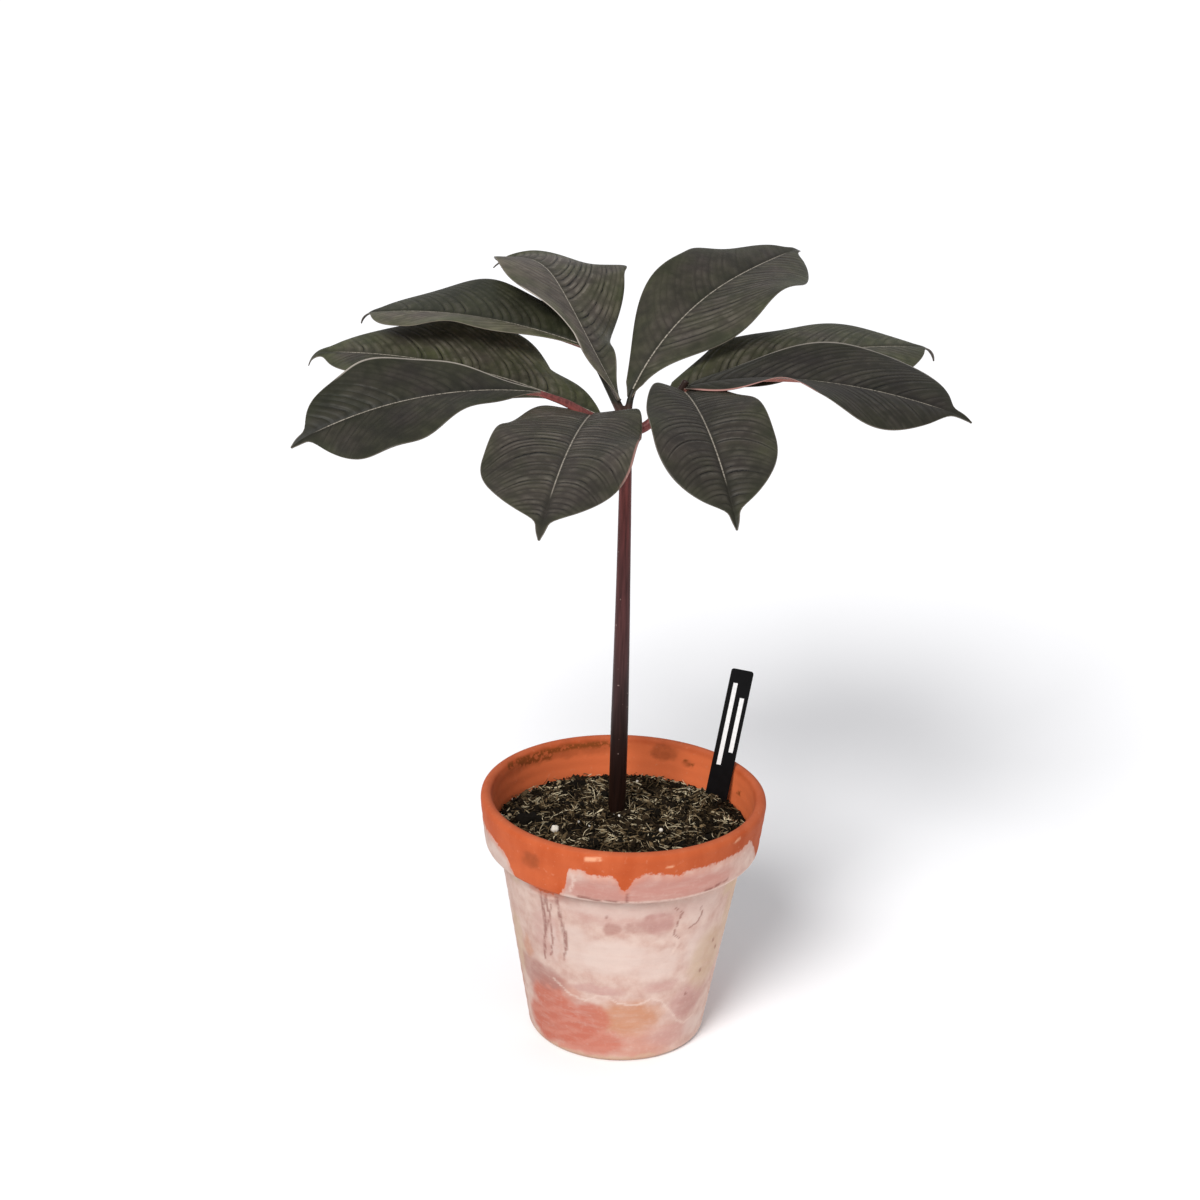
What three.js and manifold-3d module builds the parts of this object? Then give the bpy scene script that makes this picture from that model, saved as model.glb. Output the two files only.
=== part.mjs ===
// A potted foliage plant: a round clay pot of soil, one dark upright leaf stalk that forks into three
// arms, nine long wavy leaflets with drip tips, and a slim plant label pushed into the soil.
// Units are millimetres, +Z is up. The pieces are laid out around the axis of the pot with the pot's
// foot at z = 0, and the finished group is moved so that the middle of its bounding box is over the origin.
import * as THREE from 'three';
import { mergeVertices } from 'three/addons/utils/BufferGeometryUtils.js';
import Module from 'manifold-3d';

const wasm = await Module();
wasm.setup();

// Pot: a thrown clay cone with a broad rim band
const POT_HEIGHT = 135;
const POT_RIM_RADIUS = 75;
const POT_FOOT_RADIUS = 46.5;
const RIM_BAND_HEIGHT = 29;
const RIM_BAND_LOW_RADIUS = 71.8;
const BODY_TOP_RADIUS = 64.4;
const RIM_WALL = 6.5;
const RIM_EASE = 1.6;
const BODY_WALL = 6;
const SHOULDER_HEIGHT = 112;
const SHOULDER_RADIUS = 67;
const SHOULDER_FOOT_HEIGHT = 105.5;
const SHOULDER_FOOT_RADIUS = 59.6;
const BODY_INNER_TOP = 98;
const FLOOR_THICKNESS = 8;
const DRAIN_HOLE_RADIUS = 11;
const POT_SIDES = 48;

// Soil: fills the pot to two fingers below the lip, rises towards the stalk and falls a little to the
// back. Each mound or dip is its place, height and radius.
const FIT_GAP = 0.3;
const SOIL_EDGE_HEIGHT = 113.8;
const SOIL_EDGE_RADIUS = SHOULDER_RADIUS - FIT_GAP;
const SOIL_SHOULDER_RISE = 0.2;
const SOIL_DOME = 5.2;
const SOIL_FALL = 0.02;
const SOIL_EDGE_EASE = 8;
const SOIL_MOUNDS = [
  [46, 24, 5, 15],
  [-22, 50, 1.8, 9],
  [-5, 50, -2.6, 10],
  [20, 52, 1.4, 12],
  [-42, 4, 1.3, 14],
  [14, -22, 1.2, 14],
  [-16, -30, -1.2, 12],
];
const SOIL_RINGS = 10;

// Leaf stalk and its arms, given by the points that their middle lines pass through
const STALK_FOOT = [-3, 12, 92];
const STALK_AT_SOIL = [-3, 12, 119];
const STALK_MIDDLE = [-3.4, 12, 220];
const FORK = [-4.6, 12, 327];
const STALK_RADII = [4.6, 4.6, 3.7, 3];
const TUBE_SIDES = 10;
const TUBE_STEPS = 3;

// Blades. Places along a blade are shares of its length.
const BLADE_THICKNESS = 0.8;
const RIB_HEIGHT = 1.5;
const RIB_SPREAD = 0.1;
const RIB_FADE = 0.8;
const MIDRIB_STEPS = 240;
const LATE_START = 0.55;
const LATE_POWER = 1.5;
const HOOK_START = 0.92;
const USUAL_HOOK = 15;
const WING_REACH = 0.26;
const WING_POWER = 1.2;
const CALM_TIP = 0.12;

// End of a blade: its body closes at BODY_END, and a narrow drip tip runs on from it
const BODY_END = 0.92;
const BODY_ROUNDNESS = 0.62;
const DRIP_START = 0.8;
const DRIP_FULL = 0.9;
const DRIP_SHARE = 0.12;
const DRIP_TAPER_START = 0.91;
const DRIP_TAPER = 0.9;
const DRIP_BLEND = 2.2;
const TIP_HALF_WIDTH = 0.5;

// Where a blade has its rows and columns of points
const BODY_ROWS = 18;
const TIP_ROWS = 6;
const TIP_START = 0.9;
const ACROSS = [-1, -0.82, -0.6, -0.36, -0.12, 0, 0.12, 0.36, 0.6, 0.82, 1];

// Plant label
const LABEL_LENGTH = 98;
const LABEL_WIDTH = 12;
const LABEL_THICKNESS = 1.2;
const LABEL_POINT = 22;
const LABEL_FOOT = 4;
const LABEL_CORNER = 1.5;
const LABEL_AT_SOIL = [49.9, 30, 119];
const LABEL_TOP = [61.7, 45, 186.6];

// Colours as they look in daylight
const CLAY = 0xd9a98c;
const SOIL = 0x2b241f;
const STALK = 0x5a3434;
const BLADE = 0x3f3d37;
const LABEL_BLACK = 0x202022;

// The nine leaflets. Each grows from its base along a heading (degrees, 0 along +X, 90 along +Y) that
// swings round by the tip, and pitches from its rise to its fall. Twist rolls the blade about its midrib
// from base to tip. Left and right are the halves seen from the base, with their greatest width, the
// tilt and curl of their section, and the height and phase of the ripple along their margin. A wing
// widens a half near its base, a fold lifts it by an angle up to one place and is gone by another, and a
// bump swells its margin by a size at a place over a spread. A leaflet that clears another is cut to it.
const LEAFLETS = [
  {
    name: 'leaflet_left_end',
    base: [-47, 3.5, 349], length: 129,
    heading: 183, swing: 17, rise: 5.5, fall: -27, sag: 1, twist: [7, -24],
    waves: 2.9, peak: 0.62, taper: 1.3, neck: 0.065,
    left: { width: 37.5, tilt: 7, curl: 22, ripple: 2, phase: 0.35 },
    right: { width: 31, tilt: 25, curl: 7, ripple: 1, phase: 0.4, bump: [-3.5, 0.74, 0.1] },
  },
  {
    name: 'leaflet_left_rear',
    base: [-17, 12.4, 334.6], length: 176,
    heading: 149, swing: 12.5, rise: 14, fall: -9, sag: 1, twist: [4, -13], hook: 65,
    waves: 1.75, peak: 0.42, taper: 2.8, neck: 0.035,
    left: { width: 34.5, tilt: 7, curl: 25, ripple: 3, phase: 0.05, wing: 2 },
    right: { width: 42, tilt: 16, curl: 12, ripple: 2.5, phase: 0.3, wing: 10.5 },
  },
  {
    name: 'leaflet_left_front',
    base: [-22.5, 8.7, 337], length: 130,
    heading: 261, swing: -2, rise: 7.5, fall: -31, sag: 1.2, twist: [-5, -4],
    waves: 2.15, peak: 0.63, taper: 0.28, neck: 0.1,
    left: { width: 36, tilt: 21, curl: 11, ripple: 4, phase: 0.05 },
    right: { width: 37.5, tilt: 10, curl: 16, ripple: 3, phase: 0.25 },
  },
  {
    name: 'leaflet_right_front',
    clears: 'leaflet_right_end',
    base: [23.5, 14.8, 348.2], length: 124,
    heading: 279.5, swing: 5, rise: 7.5, fall: -40, sag: 1.1, twist: [-5, 7],
    waves: 2, peak: 0.62, taper: 0.5, neck: 0.1,
    left: { width: 29.5, tilt: 24, curl: 9, ripple: 2.5, phase: 0.4 },
    right: { width: 32.5, tilt: 22, curl: 13, ripple: 2.5, phase: 0.1 },
  },
  {
    name: 'leaflet_right_end',
    base: [23.5, 15, 350], length: 146,
    heading: -4, swing: -17, rise: 22.5, fall: -14, sag: 0.55, twist: [-7, 6],
    waves: 1.5, peak: 0.62, taper: 0.8, neck: 0.07,
    left: { width: 34.5, tilt: 21, curl: 10, ripple: 3.5, phase: 0.6 },
    right: { width: 35, tilt: 9, curl: 23, ripple: 6.5, phase: 0.6, fold: [9, 0.33, 0.5] },
  },
  {
    name: 'leaflet_right_rear',
    base: [15, 20.5, 345.5], length: 159,
    heading: 22, swing: 4, rise: 14.5, fall: -11, sag: 1.3, twist: [10, -3], hook: 70,
    waves: 2.15, peak: 0.59, taper: 0.85, neck: 0.08,
    left: { width: 36, tilt: 13, curl: 18, ripple: 1.5, phase: 0.65, bump: [2.5, 0.27, 0.06] },
    right: { width: 33, tilt: 3, curl: 24, ripple: 3, phase: 0.15, fold: [16, 0.4, 0.8] },
  },
  {
    name: 'leaflet_back_right',
    base: [-3.5, 24.5, 341.5], length: 172,
    heading: 57.5, swing: -13, late: 23, rise: 54.5, fall: -5, sag: 0.58, twist: [-5, 13],
    waves: 1.85, peak: 0.45, taper: 1.5, neck: 0.11,
    left: { width: 31, tilt: 17, curl: 15, ripple: 4, phase: 0.35, bump: [4.5, 0.64, 0.07] },
    right: { width: 38, tilt: 11, curl: 18, ripple: 5.5, phase: 0.25 },
  },
  {
    name: 'leaflet_back_left',
    clears: 'leaflet_back_end',
    base: [-24.5, 46.5, 360.5], length: 137,
    heading: 157, swing: -2.5, rise: 13, fall: -14, sag: 1, twist: [-13, 7], hook: 60,
    waves: 2.3, peak: 0.56, taper: 1.25, neck: 0.05,
    left: {
      width: 24, tilt: 4, curl: 22, ripple: 1, phase: 0.95, fold: [21, 0.45, 0.7], bump: [4, 0.82, 0.09],
    },
    right: { width: 36.5, tilt: 19, curl: 12, ripple: 1.5, phase: 0.95 },
  },
  {
    name: 'leaflet_back_end',
    base: [-8.2, 20, 342], length: 157,
    heading: 121, swing: -18, late: 42, rise: 32, fall: -31, sag: 2.4, twist: [29, -17],
    waves: 2.4, peak: 0.6, taper: 2.1, neck: 0.075,
    left: { width: 29.5, tilt: 21, curl: 16, ripple: 2, phase: 0.45, wing: 5.5 },
    right: { width: 36.5, tilt: -3, curl: 2, ripple: 7, phase: 0.88, bump: [6, 0.63, 0.045] },
  },
];

const WELD = 1e-4;

function solidOf(geometry) {
  const bare = geometry.clone();
  bare.deleteAttribute('normal');
  bare.deleteAttribute('uv');
  const merged = mergeVertices(bare, WELD);
  return new wasm.Manifold(new wasm.Mesh({
    numProp: 3,
    vertProperties: new Float32Array(merged.attributes.position.array),
    triVerts: new Uint32Array(merged.index.array),
  }));
}

function geometryOf(solid) {
  const mesh = solid.getMesh();
  const geometry = new THREE.BufferGeometry();
  geometry.setAttribute('position', new THREE.BufferAttribute(mesh.vertProperties, 3));
  geometry.setIndex(new THREE.BufferAttribute(mesh.triVerts, 1));
  geometry.computeVertexNormals();
  return geometry;
}

function largestBody(solid) {
  const bodies = solid.decompose();
  bodies.sort((a, b) => b.volume() - a.volume());
  return bodies[0];
}

// A closed skin from rings of points: each ring joins the next, and the end rings are capped by a fan
function skin(rings) {
  const sides = rings[0].length;
  const points = rings.flat();
  const faces = [];
  for (let i = 0; i + 1 < rings.length; i++) {
    for (let j = 0; j < sides; j++) {
      const a = i * sides + j;
      const b = i * sides + (j + 1) % sides;
      faces.push(a, b, b + sides, a, b + sides, a + sides);
    }
  }
  const last = (rings.length - 1) * sides;
  for (let j = 1; j + 1 < sides; j++) {
    faces.push(0, j + 1, j);
    faces.push(last, last + j, last + j + 1);
  }
  const geometry = new THREE.BufferGeometry();
  geometry.setFromPoints(points);
  geometry.setIndex(faces);
  return geometry;
}

// A round tube along a smooth curve whose radius changes evenly between the given values
function taperedTube(points, radii, grow = 0) {
  const curve = new THREE.CatmullRomCurve3(points.map((p) => new THREE.Vector3(...p)));
  const steps = TUBE_STEPS * (points.length - 1);
  const frames = curve.computeFrenetFrames(steps, false);
  const rings = [];
  for (let i = 0; i <= steps; i++) {
    const along = i / steps;
    const place = along * (radii.length - 1);
    const k = Math.min(Math.floor(place), radii.length - 2);
    const radius = THREE.MathUtils.lerp(radii[k], radii[k + 1], place - k) + grow;
    const middle = curve.getPointAt(along);
    const end = i === 0 ? -1 : Number(i === steps);
    middle.addScaledVector(frames.tangents[i], end * grow);
    const ring = [];
    for (let j = 0; j < TUBE_SIDES; j++) {
      const angle = (2 * Math.PI * j) / TUBE_SIDES;
      const point = middle.clone();
      point.addScaledVector(frames.normals[i], radius * Math.cos(angle));
      point.addScaledVector(frames.binormals[i], radius * Math.sin(angle));
      ring.push(point);
    }
    rings.push(ring);
  }
  return solidOf(skin(rings));
}

// Pot: foot ring, cone, rim band and rounded lip, with a drain hole through the floor
function potGeometry() {
  const bandFoot = POT_HEIGHT - RIM_BAND_HEIGHT;
  const lip = POT_RIM_RADIUS - RIM_WALL / 2;
  const innerFoot = POT_FOOT_RADIUS - BODY_WALL;
  const profile = [
    [DRAIN_HOLE_RADIUS, 0],
    [POT_FOOT_RADIUS - 2, 0],
    [POT_FOOT_RADIUS, 2],
    [BODY_TOP_RADIUS, bandFoot],
    [RIM_BAND_LOW_RADIUS - 1, bandFoot],
    [RIM_BAND_LOW_RADIUS, bandFoot + 1.5],
    [POT_RIM_RADIUS - 0.3, POT_HEIGHT - 4],
    [POT_RIM_RADIUS - 0.5, POT_HEIGHT - 2],
    [lip + RIM_EASE, POT_HEIGHT - 0.4],
    [lip, POT_HEIGHT],
    [lip - RIM_EASE, POT_HEIGHT - 0.5],
    [POT_RIM_RADIUS - RIM_WALL, POT_HEIGHT - 3],
    [SHOULDER_RADIUS, SHOULDER_HEIGHT],
    [SHOULDER_FOOT_RADIUS, SHOULDER_FOOT_HEIGHT],
    [BODY_TOP_RADIUS - BODY_WALL, BODY_INNER_TOP],
    [innerFoot, FLOOR_THICKNESS],
    [DRAIN_HOLE_RADIUS, FLOOR_THICKNESS],
    [DRAIN_HOLE_RADIUS, 0],
  ];
  const geometry = new THREE.LatheGeometry(profile.map(([r, z]) => new THREE.Vector2(r, z)), POT_SIDES);
  return geometry.rotateX(Math.PI / 2);
}

// Soil surface: a low dome that falls to the back, with its mounds eased out at the wall
function soilHeight(x, y) {
  const out = Math.min(1, Math.hypot(x, y) / SOIL_EDGE_RADIUS);
  const ease = Math.min(1, SOIL_EDGE_EASE * (1 - out));
  let height = SOIL_EDGE_HEIGHT + SOIL_DOME * (1 - out * out) - SOIL_FALL * y;
  for (const [moundX, moundY, rise, radius] of SOIL_MOUNDS) {
    height += ease * rise * Math.exp(-(((x - moundX) ** 2 + (y - moundY) ** 2) / radius ** 2));
  }
  return height;
}

function soilGeometry() {
  const foot = FLOOR_THICKNESS + FIT_GAP;
  const rows = [
    [0, foot],
    [POT_FOOT_RADIUS - BODY_WALL - FIT_GAP, foot],
    [BODY_TOP_RADIUS - BODY_WALL - FIT_GAP, BODY_INNER_TOP],
    [SHOULDER_FOOT_RADIUS - FIT_GAP, SHOULDER_FOOT_HEIGHT + SOIL_SHOULDER_RISE],
    [SOIL_EDGE_RADIUS, SHOULDER_HEIGHT + SOIL_SHOULDER_RISE],
  ];
  for (let k = 0; k <= SOIL_RINGS; k++) {
    rows.push([SOIL_EDGE_RADIUS * (1 - k / SOIL_RINGS), SOIL_EDGE_HEIGHT]);
  }
  const geometry = new THREE.LatheGeometry(rows.map(([r, z]) => new THREE.Vector2(r, z)), POT_SIDES);
  geometry.rotateX(Math.PI / 2);
  const place = geometry.attributes.position;
  for (let i = 0; i < place.count; i++) {
    if (Math.abs(place.getZ(i) - SOIL_EDGE_HEIGHT) < WELD) {
      place.setZ(i, soilHeight(place.getX(i), place.getY(i)));
    }
  }
  return geometry;
}

// Stalk and arms: the arms run under the leaflets that they carry
const ARMS = [
  {
    points: [FORK, [-13, 10, 331.5], [-23, 8.3, 336], [-35, 6.4, 343], [-48, 3.3, 348.5]],
    radii: [2.8, 2.3, 1.5],
  },
  {
    points: [FORK, [4.5, 14, 329.5], [13, 15.3, 338], [20.5, 16, 346.5], [24.5, 16.3, 353.5]],
    radii: [2.8, 2.3, 1.8],
  },
  {
    points: [FORK, [-6, 17, 332], [-11, 26, 340], [-18, 37, 350], [-25, 46.5, 359.5]],
    radii: [2.8, 2.2, 1.4],
  },
  {
    points: [FORK, [-4.2, 18, 333], [-3.2, 24, 340], [-1.5, 27, 345]],
    radii: [2.6, 2, 1.5],
  },
];

function stalkSolid(grow = 0) {
  let solid = taperedTube(
    [STALK_FOOT, STALK_AT_SOIL, STALK_MIDDLE, FORK],
    STALK_RADII,
    grow,
  );
  for (const arm of ARMS) {
    solid = solid.add(taperedTube(arm.points, arm.radii, grow));
  }
  return solid;
}

// Width of a leaflet along its length, as a share of its greatest width: it swells from the neck,
// rounds off and ends in a narrow drip tip
function widthAt(t, leaflet) {
  if (t < leaflet.peak) {
    const swell = Math.sin((Math.PI / 2) * (t / leaflet.peak)) ** leaflet.taper;
    return leaflet.neck + (1 - leaflet.neck) * swell;
  }
  const past = Math.min(1, (t - leaflet.peak) / (BODY_END - leaflet.peak));
  const body = (1 - past * past) ** BODY_ROUNDNESS;
  const begun = THREE.MathUtils.clamp((t - DRIP_START) / (DRIP_FULL - DRIP_START), 0, 1);
  const drip = DRIP_SHARE * begun * ((1 - t) / (1 - DRIP_TAPER_START)) ** DRIP_TAPER;
  return (body ** DRIP_BLEND + drip ** DRIP_BLEND) ** (1 / DRIP_BLEND);
}

// Middle line of a leaflet with its frame, walked in short steps from the base
function midrib(leaflet) {
  const { late = 0, hook = USUAL_HOOK } = leaflet;
  const line = [];
  const place = new THREE.Vector3(...leaflet.base);
  let before = null;
  for (let i = 0; i <= MIDRIB_STEPS; i++) {
    const t = i / MIDRIB_STEPS;
    const bend = Math.max(0, (t - LATE_START) / (1 - LATE_START)) ** LATE_POWER;
    const drop = Math.max(0, (t - HOOK_START) / (1 - HOOK_START));
    const heading = THREE.MathUtils.degToRad(leaflet.heading + leaflet.swing * t + late * bend);
    const pitch = THREE.MathUtils.degToRad(
      leaflet.rise + (leaflet.fall - leaflet.rise) * t ** leaflet.sag - hook * drop,
    );
    const ahead = new THREE.Vector3(
      Math.cos(pitch) * Math.cos(heading),
      Math.cos(pitch) * Math.sin(heading),
      Math.sin(pitch),
    );
    if (before) {
      place.addScaledVector(before.clone().add(ahead), leaflet.length / MIDRIB_STEPS / 2);
    }
    const roll = THREE.MathUtils.degToRad(THREE.MathUtils.lerp(leaflet.twist[0], leaflet.twist[1], t));
    const level = new THREE.Vector3(-Math.sin(heading), Math.cos(heading), 0);
    const upright = ahead.clone().cross(level);
    const side = level.clone().multiplyScalar(Math.cos(roll)).addScaledVector(upright, Math.sin(roll));
    const up = upright.clone().multiplyScalar(Math.cos(roll)).addScaledVector(level, -Math.sin(roll));
    line.push({ place: place.clone(), side, up });
    before = ahead;
  }
  return (t) => line[Math.round(t * MIDRIB_STEPS)];
}

// A point of the blade: t runs along the midrib, across runs from -1 at the right margin to 1 at the left
function bladePoint(leaflet, frame, t, across, grow) {
  const half = across < 0 ? leaflet.right : leaflet.left;
  const { wing = 0, fold = [0, 0, 1], bump = [0, 0, 1] } = half;
  const q = Math.abs(across);
  const folded = fold[0] * (1 - THREE.MathUtils.smoothstep(t, fold[1], fold[2]));
  const tilt = THREE.MathUtils.degToRad(half.tilt + folded);
  const curl = THREE.MathUtils.degToRad(half.curl);
  const winged = wing * Math.sin(Math.PI * Math.min(1, t / WING_REACH)) ** WING_POWER;
  const swollen = bump[0] * Math.exp(-(((t - bump[1]) / bump[2]) ** 2));
  const shaped = half.width * widthAt(t, leaflet) + winged + swollen;
  const width = Math.max(TIP_HALF_WIDTH, shaped) + grow;
  const outward = (width * (Math.sin(tilt) - Math.sin(tilt - curl * q))) / curl;
  const lift = (width * (Math.cos(tilt - curl * q) - Math.cos(tilt))) / curl;
  const wave = Math.sin(2 * Math.PI * (leaflet.waves * t + half.phase));
  const calm = Math.sqrt(Math.sin(Math.PI * t)) * Math.min(1, (1 - t) / CALM_TIP);
  const ripple = half.ripple * q * q * wave * calm;
  return frame.place.clone()
    .addScaledVector(frame.side, Math.sign(across) * outward)
    .addScaledVector(frame.up, lift + ripple);
}

// Shares of the length at which a blade has a row of points, closer together in its tip
const ALONG = [];
for (let i = 0; i < BODY_ROWS; i++) {
  ALONG.push((TIP_START * i) / BODY_ROWS);
}
for (let i = 0; i <= TIP_ROWS; i++) {
  ALONG.push(TIP_START + ((1 - TIP_START) * i) / TIP_ROWS);
}

// A leaflet: two like faces a blade's thickness apart, the lower one deeper along the midrib
function leafletSolid(leaflet, grow = 0) {
  const frames = midrib(leaflet);
  const middle = ALONG.map((t) => ACROSS.map((across) => bladePoint(leaflet, frames(t), t, across, grow)));
  const rings = middle.map((row, i) => {
    const upper = [];
    const lower = [];
    row.forEach((point, j) => {
      const ahead = middle[Math.min(i + 1, middle.length - 1)][j].clone();
      ahead.sub(middle[Math.max(i - 1, 0)][j]);
      const left = row[Math.min(j + 1, row.length - 1)].clone().sub(row[Math.max(j - 1, 0)]);
      const normal = ahead.cross(left).normalize();
      const rib = RIB_HEIGHT * Math.exp(-((ACROSS[j] / RIB_SPREAD) ** 2)) * (1 - RIB_FADE * ALONG[i]);
      upper.push(point.clone().addScaledVector(normal, BLADE_THICKNESS / 2 + grow));
      lower.push(point.clone().addScaledVector(normal, -BLADE_THICKNESS / 2 - grow - rib));
    });
    return [...upper, ...lower.reverse()];
  });
  return solidOf(bladeSkin(rings, ACROSS.length));
}

// Joins the rings of a blade with the same diagonals on both faces, and closes its two ends
function bladeSkin(rings, columns) {
  const sides = rings[0].length;
  const faces = [];
  for (let i = 0; i + 1 < rings.length; i++) {
    for (let j = 0; j < sides; j++) {
      const a = i * sides + j;
      const b = i * sides + (j + 1) % sides;
      if (j < columns) {
        faces.push(a, a + sides, b + sides, a, b + sides, b);
      } else {
        faces.push(a, a + sides, b, b, a + sides, b + sides);
      }
    }
  }
  const last = (rings.length - 1) * sides;
  for (let j = 0; j + 1 < columns; j++) {
    const k = sides - 1 - j;
    faces.push(j, j + 1, k - 1, j, k - 1, k);
    faces.push(last + j, last + k, last + k - 1, last + j, last + k - 1, last + j + 1);
  }
  const geometry = new THREE.BufferGeometry();
  geometry.setFromPoints(rings.flat());
  geometry.setIndex(faces);
  return geometry;
}

// Label: a flat strip with rounded top corners and a tapered foot, leaning back in its slot
function labelGeometry(grow = 0) {
  const half = LABEL_WIDTH / 2 + grow;
  const thick = LABEL_THICKNESS + 2 * grow;
  const shape = new THREE.Shape();
  shape.moveTo(-LABEL_FOOT / 2 - grow, -LABEL_LENGTH - grow);
  shape.lineTo(LABEL_FOOT / 2 + grow, -LABEL_LENGTH - grow);
  shape.lineTo(half, -LABEL_LENGTH + LABEL_POINT);
  shape.absarc(half - LABEL_CORNER, grow - LABEL_CORNER, LABEL_CORNER, 0, Math.PI / 2);
  shape.absarc(LABEL_CORNER - half, grow - LABEL_CORNER, LABEL_CORNER, Math.PI / 2, Math.PI);
  shape.lineTo(-half, -LABEL_LENGTH + LABEL_POINT);
  shape.closePath();
  const settings = { depth: thick, bevelEnabled: false, curveSegments: 4 };
  const geometry = new THREE.ExtrudeGeometry(shape, settings);
  geometry.translate(0, 0, -thick / 2);
  const top = new THREE.Vector3(...LABEL_TOP);
  const up = top.clone().sub(new THREE.Vector3(...LABEL_AT_SOIL)).normalize();
  const front = new THREE.Vector3(0, -1, 0);
  front.addScaledVector(up, -front.dot(up)).normalize();
  const across = up.clone().cross(front);
  geometry.applyMatrix4(new THREE.Matrix4().makeBasis(across, up, front).setPosition(top));
  return geometry;
}

function material(color, roughness) {
  return new THREE.MeshStandardMaterial({ color, roughness, metalness: 0 });
}

const group = new THREE.Group();

function addPiece(name, geometry, look) {
  const mesh = new THREE.Mesh(geometry, look);
  mesh.name = name;
  group.add(mesh);
}

const stalk = stalkSolid();
const stalkRoom = stalkSolid(FIT_GAP);
const slot = solidOf(labelGeometry(FIT_GAP));
const soil = solidOf(soilGeometry()).subtract(stalkRoom).subtract(slot);
const blade = material(BLADE, 0.6);

addPiece('pot', potGeometry(), material(CLAY, 0.9));
addPiece('potting_soil', geometryOf(soil), material(SOIL, 1));
addPiece('petiole', geometryOf(stalk), material(STALK, 0.5));
for (const leaflet of LEAFLETS) {
  let solid = leafletSolid(leaflet).subtract(stalkRoom);
  for (const neighbour of LEAFLETS.filter((other) => other.name === leaflet.clears)) {
    solid = solid.subtract(leafletSolid(neighbour, FIT_GAP));
  }
  addPiece(leaflet.name, geometryOf(largestBody(solid)), blade);
}
addPiece('plant_label', labelGeometry(), material(LABEL_BLACK, 0.45));

const box = new THREE.Box3().setFromObject(group);
const centre = box.getCenter(new THREE.Vector3());
group.position.set(-centre.x, -centre.y, -box.min.z);

export default group;
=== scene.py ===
import math
from functools import partial

import bpy
import bmesh
import numpy as np
from mathutils import Matrix, Vector, noise


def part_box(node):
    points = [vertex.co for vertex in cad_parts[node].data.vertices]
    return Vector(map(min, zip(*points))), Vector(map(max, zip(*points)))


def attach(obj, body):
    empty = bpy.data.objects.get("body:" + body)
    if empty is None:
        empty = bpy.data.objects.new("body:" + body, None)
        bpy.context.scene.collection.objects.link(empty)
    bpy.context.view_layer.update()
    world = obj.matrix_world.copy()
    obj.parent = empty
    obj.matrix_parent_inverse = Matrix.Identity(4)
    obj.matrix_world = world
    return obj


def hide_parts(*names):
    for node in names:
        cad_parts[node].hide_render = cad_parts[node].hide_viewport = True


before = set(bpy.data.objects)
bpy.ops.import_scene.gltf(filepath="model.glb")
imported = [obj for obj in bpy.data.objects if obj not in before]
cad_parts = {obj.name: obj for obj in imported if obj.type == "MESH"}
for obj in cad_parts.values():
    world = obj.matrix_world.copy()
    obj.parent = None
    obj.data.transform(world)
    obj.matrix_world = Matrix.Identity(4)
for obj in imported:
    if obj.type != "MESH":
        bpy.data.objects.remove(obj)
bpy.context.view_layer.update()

# Studio. A wide matt paper sweep under an even pale sky, with one broad lamp high at the front left
# that throws a soft shadow to the back right. The camera looks down on the pot from a small height.
# All sizes in this file are millimetres, and MM turns them into the scene's metres.
MM = 0.001
pot_low, pot_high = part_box("pot")
POT_AXIS = np.array(((pot_low[0] + pot_high[0]) / 2, (pot_low[1] + pot_high[1]) / 2, 0.0)) / MM

SWEEP_HALF_WIDTH = 9000
SWEEP_WHITE = "#f7f7f8"
SKY_WHITE = "#fdfdff"
SKY_STRENGTH = 0.56
LAMP_STRENGTH = 3.0
LAMP_SPREAD = 24
LAMP_ELEVATION = 40
LAMP_HEADING = 67
LENS = 80
SENSOR = 36
CAMERA_PITCH = 21.16
CAMERA_ROLL = 1.74
CAMERA_RIGHT = 8.41
CAMERA_DOWN = 225.44
CAMERA_DISTANCE = 1440.28


def tone(code):
    """Linear colour of an sRGB hex value."""
    parts = [int(code[i:i + 2], 16) / 255 for i in (1, 3, 5)]
    return (*[p / 12.92 if p <= 0.04045 else ((p + 0.055) / 1.055) ** 2.4 for p in parts], 1.0)


def add_node(shader, kind, inputs=(), output=0, into=None, stops=(), **settings):
    """Adds a node to the shader's material and returns one of its outputs.

    Inputs are given by the names of the sockets, or in their order. Another node's output is linked and
    any other value is set. The output is also linked into the shader where a socket of it is named."""
    tree = shader.id_data
    made = tree.nodes.new("ShaderNode" + kind)
    for name, value in settings.items():
        setattr(made, name, value)
    shown = [socket for socket in made.inputs if socket.enabled]
    if isinstance(inputs, dict):
        places = [next(socket for socket in shown if socket.name == name) for name in inputs]
        inputs = inputs.values()
    else:
        places = shown
    for place, value in zip(places, inputs):
        if isinstance(value, bpy.types.NodeSocket):
            tree.links.new(value, place)
        else:
            place.default_value = value
    for i, (position, colour) in enumerate(stops):
        marks = made.color_ramp.elements
        mark = marks[i] if i < 2 else marks.new(position)
        mark.position = position
        mark.color = tone(colour)
    by_name = isinstance(output, str)
    outputs = made.outputs if by_name else [socket for socket in made.outputs if socket.enabled]
    given = outputs[output]
    if into:
        tree.links.new(given, shader.inputs[into])
    return given


def new_finish(name):
    """A material, its shader, and the function that adds nodes to it."""
    finish = bpy.data.materials.new(name)
    finish.use_nodes = True
    shader = finish.node_tree.nodes["Principled BSDF"]
    return finish, shader, partial(add_node, shader)


scene = bpy.context.scene
scene.view_settings.view_transform = "Standard"

sky = bpy.data.worlds.new("pale_sky")
sky.use_nodes = True
sky.node_tree.nodes["Background"].inputs["Color"].default_value = tone(SKY_WHITE)
sky.node_tree.nodes["Background"].inputs["Strength"].default_value = SKY_STRENGTH
scene.world = sky

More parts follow.
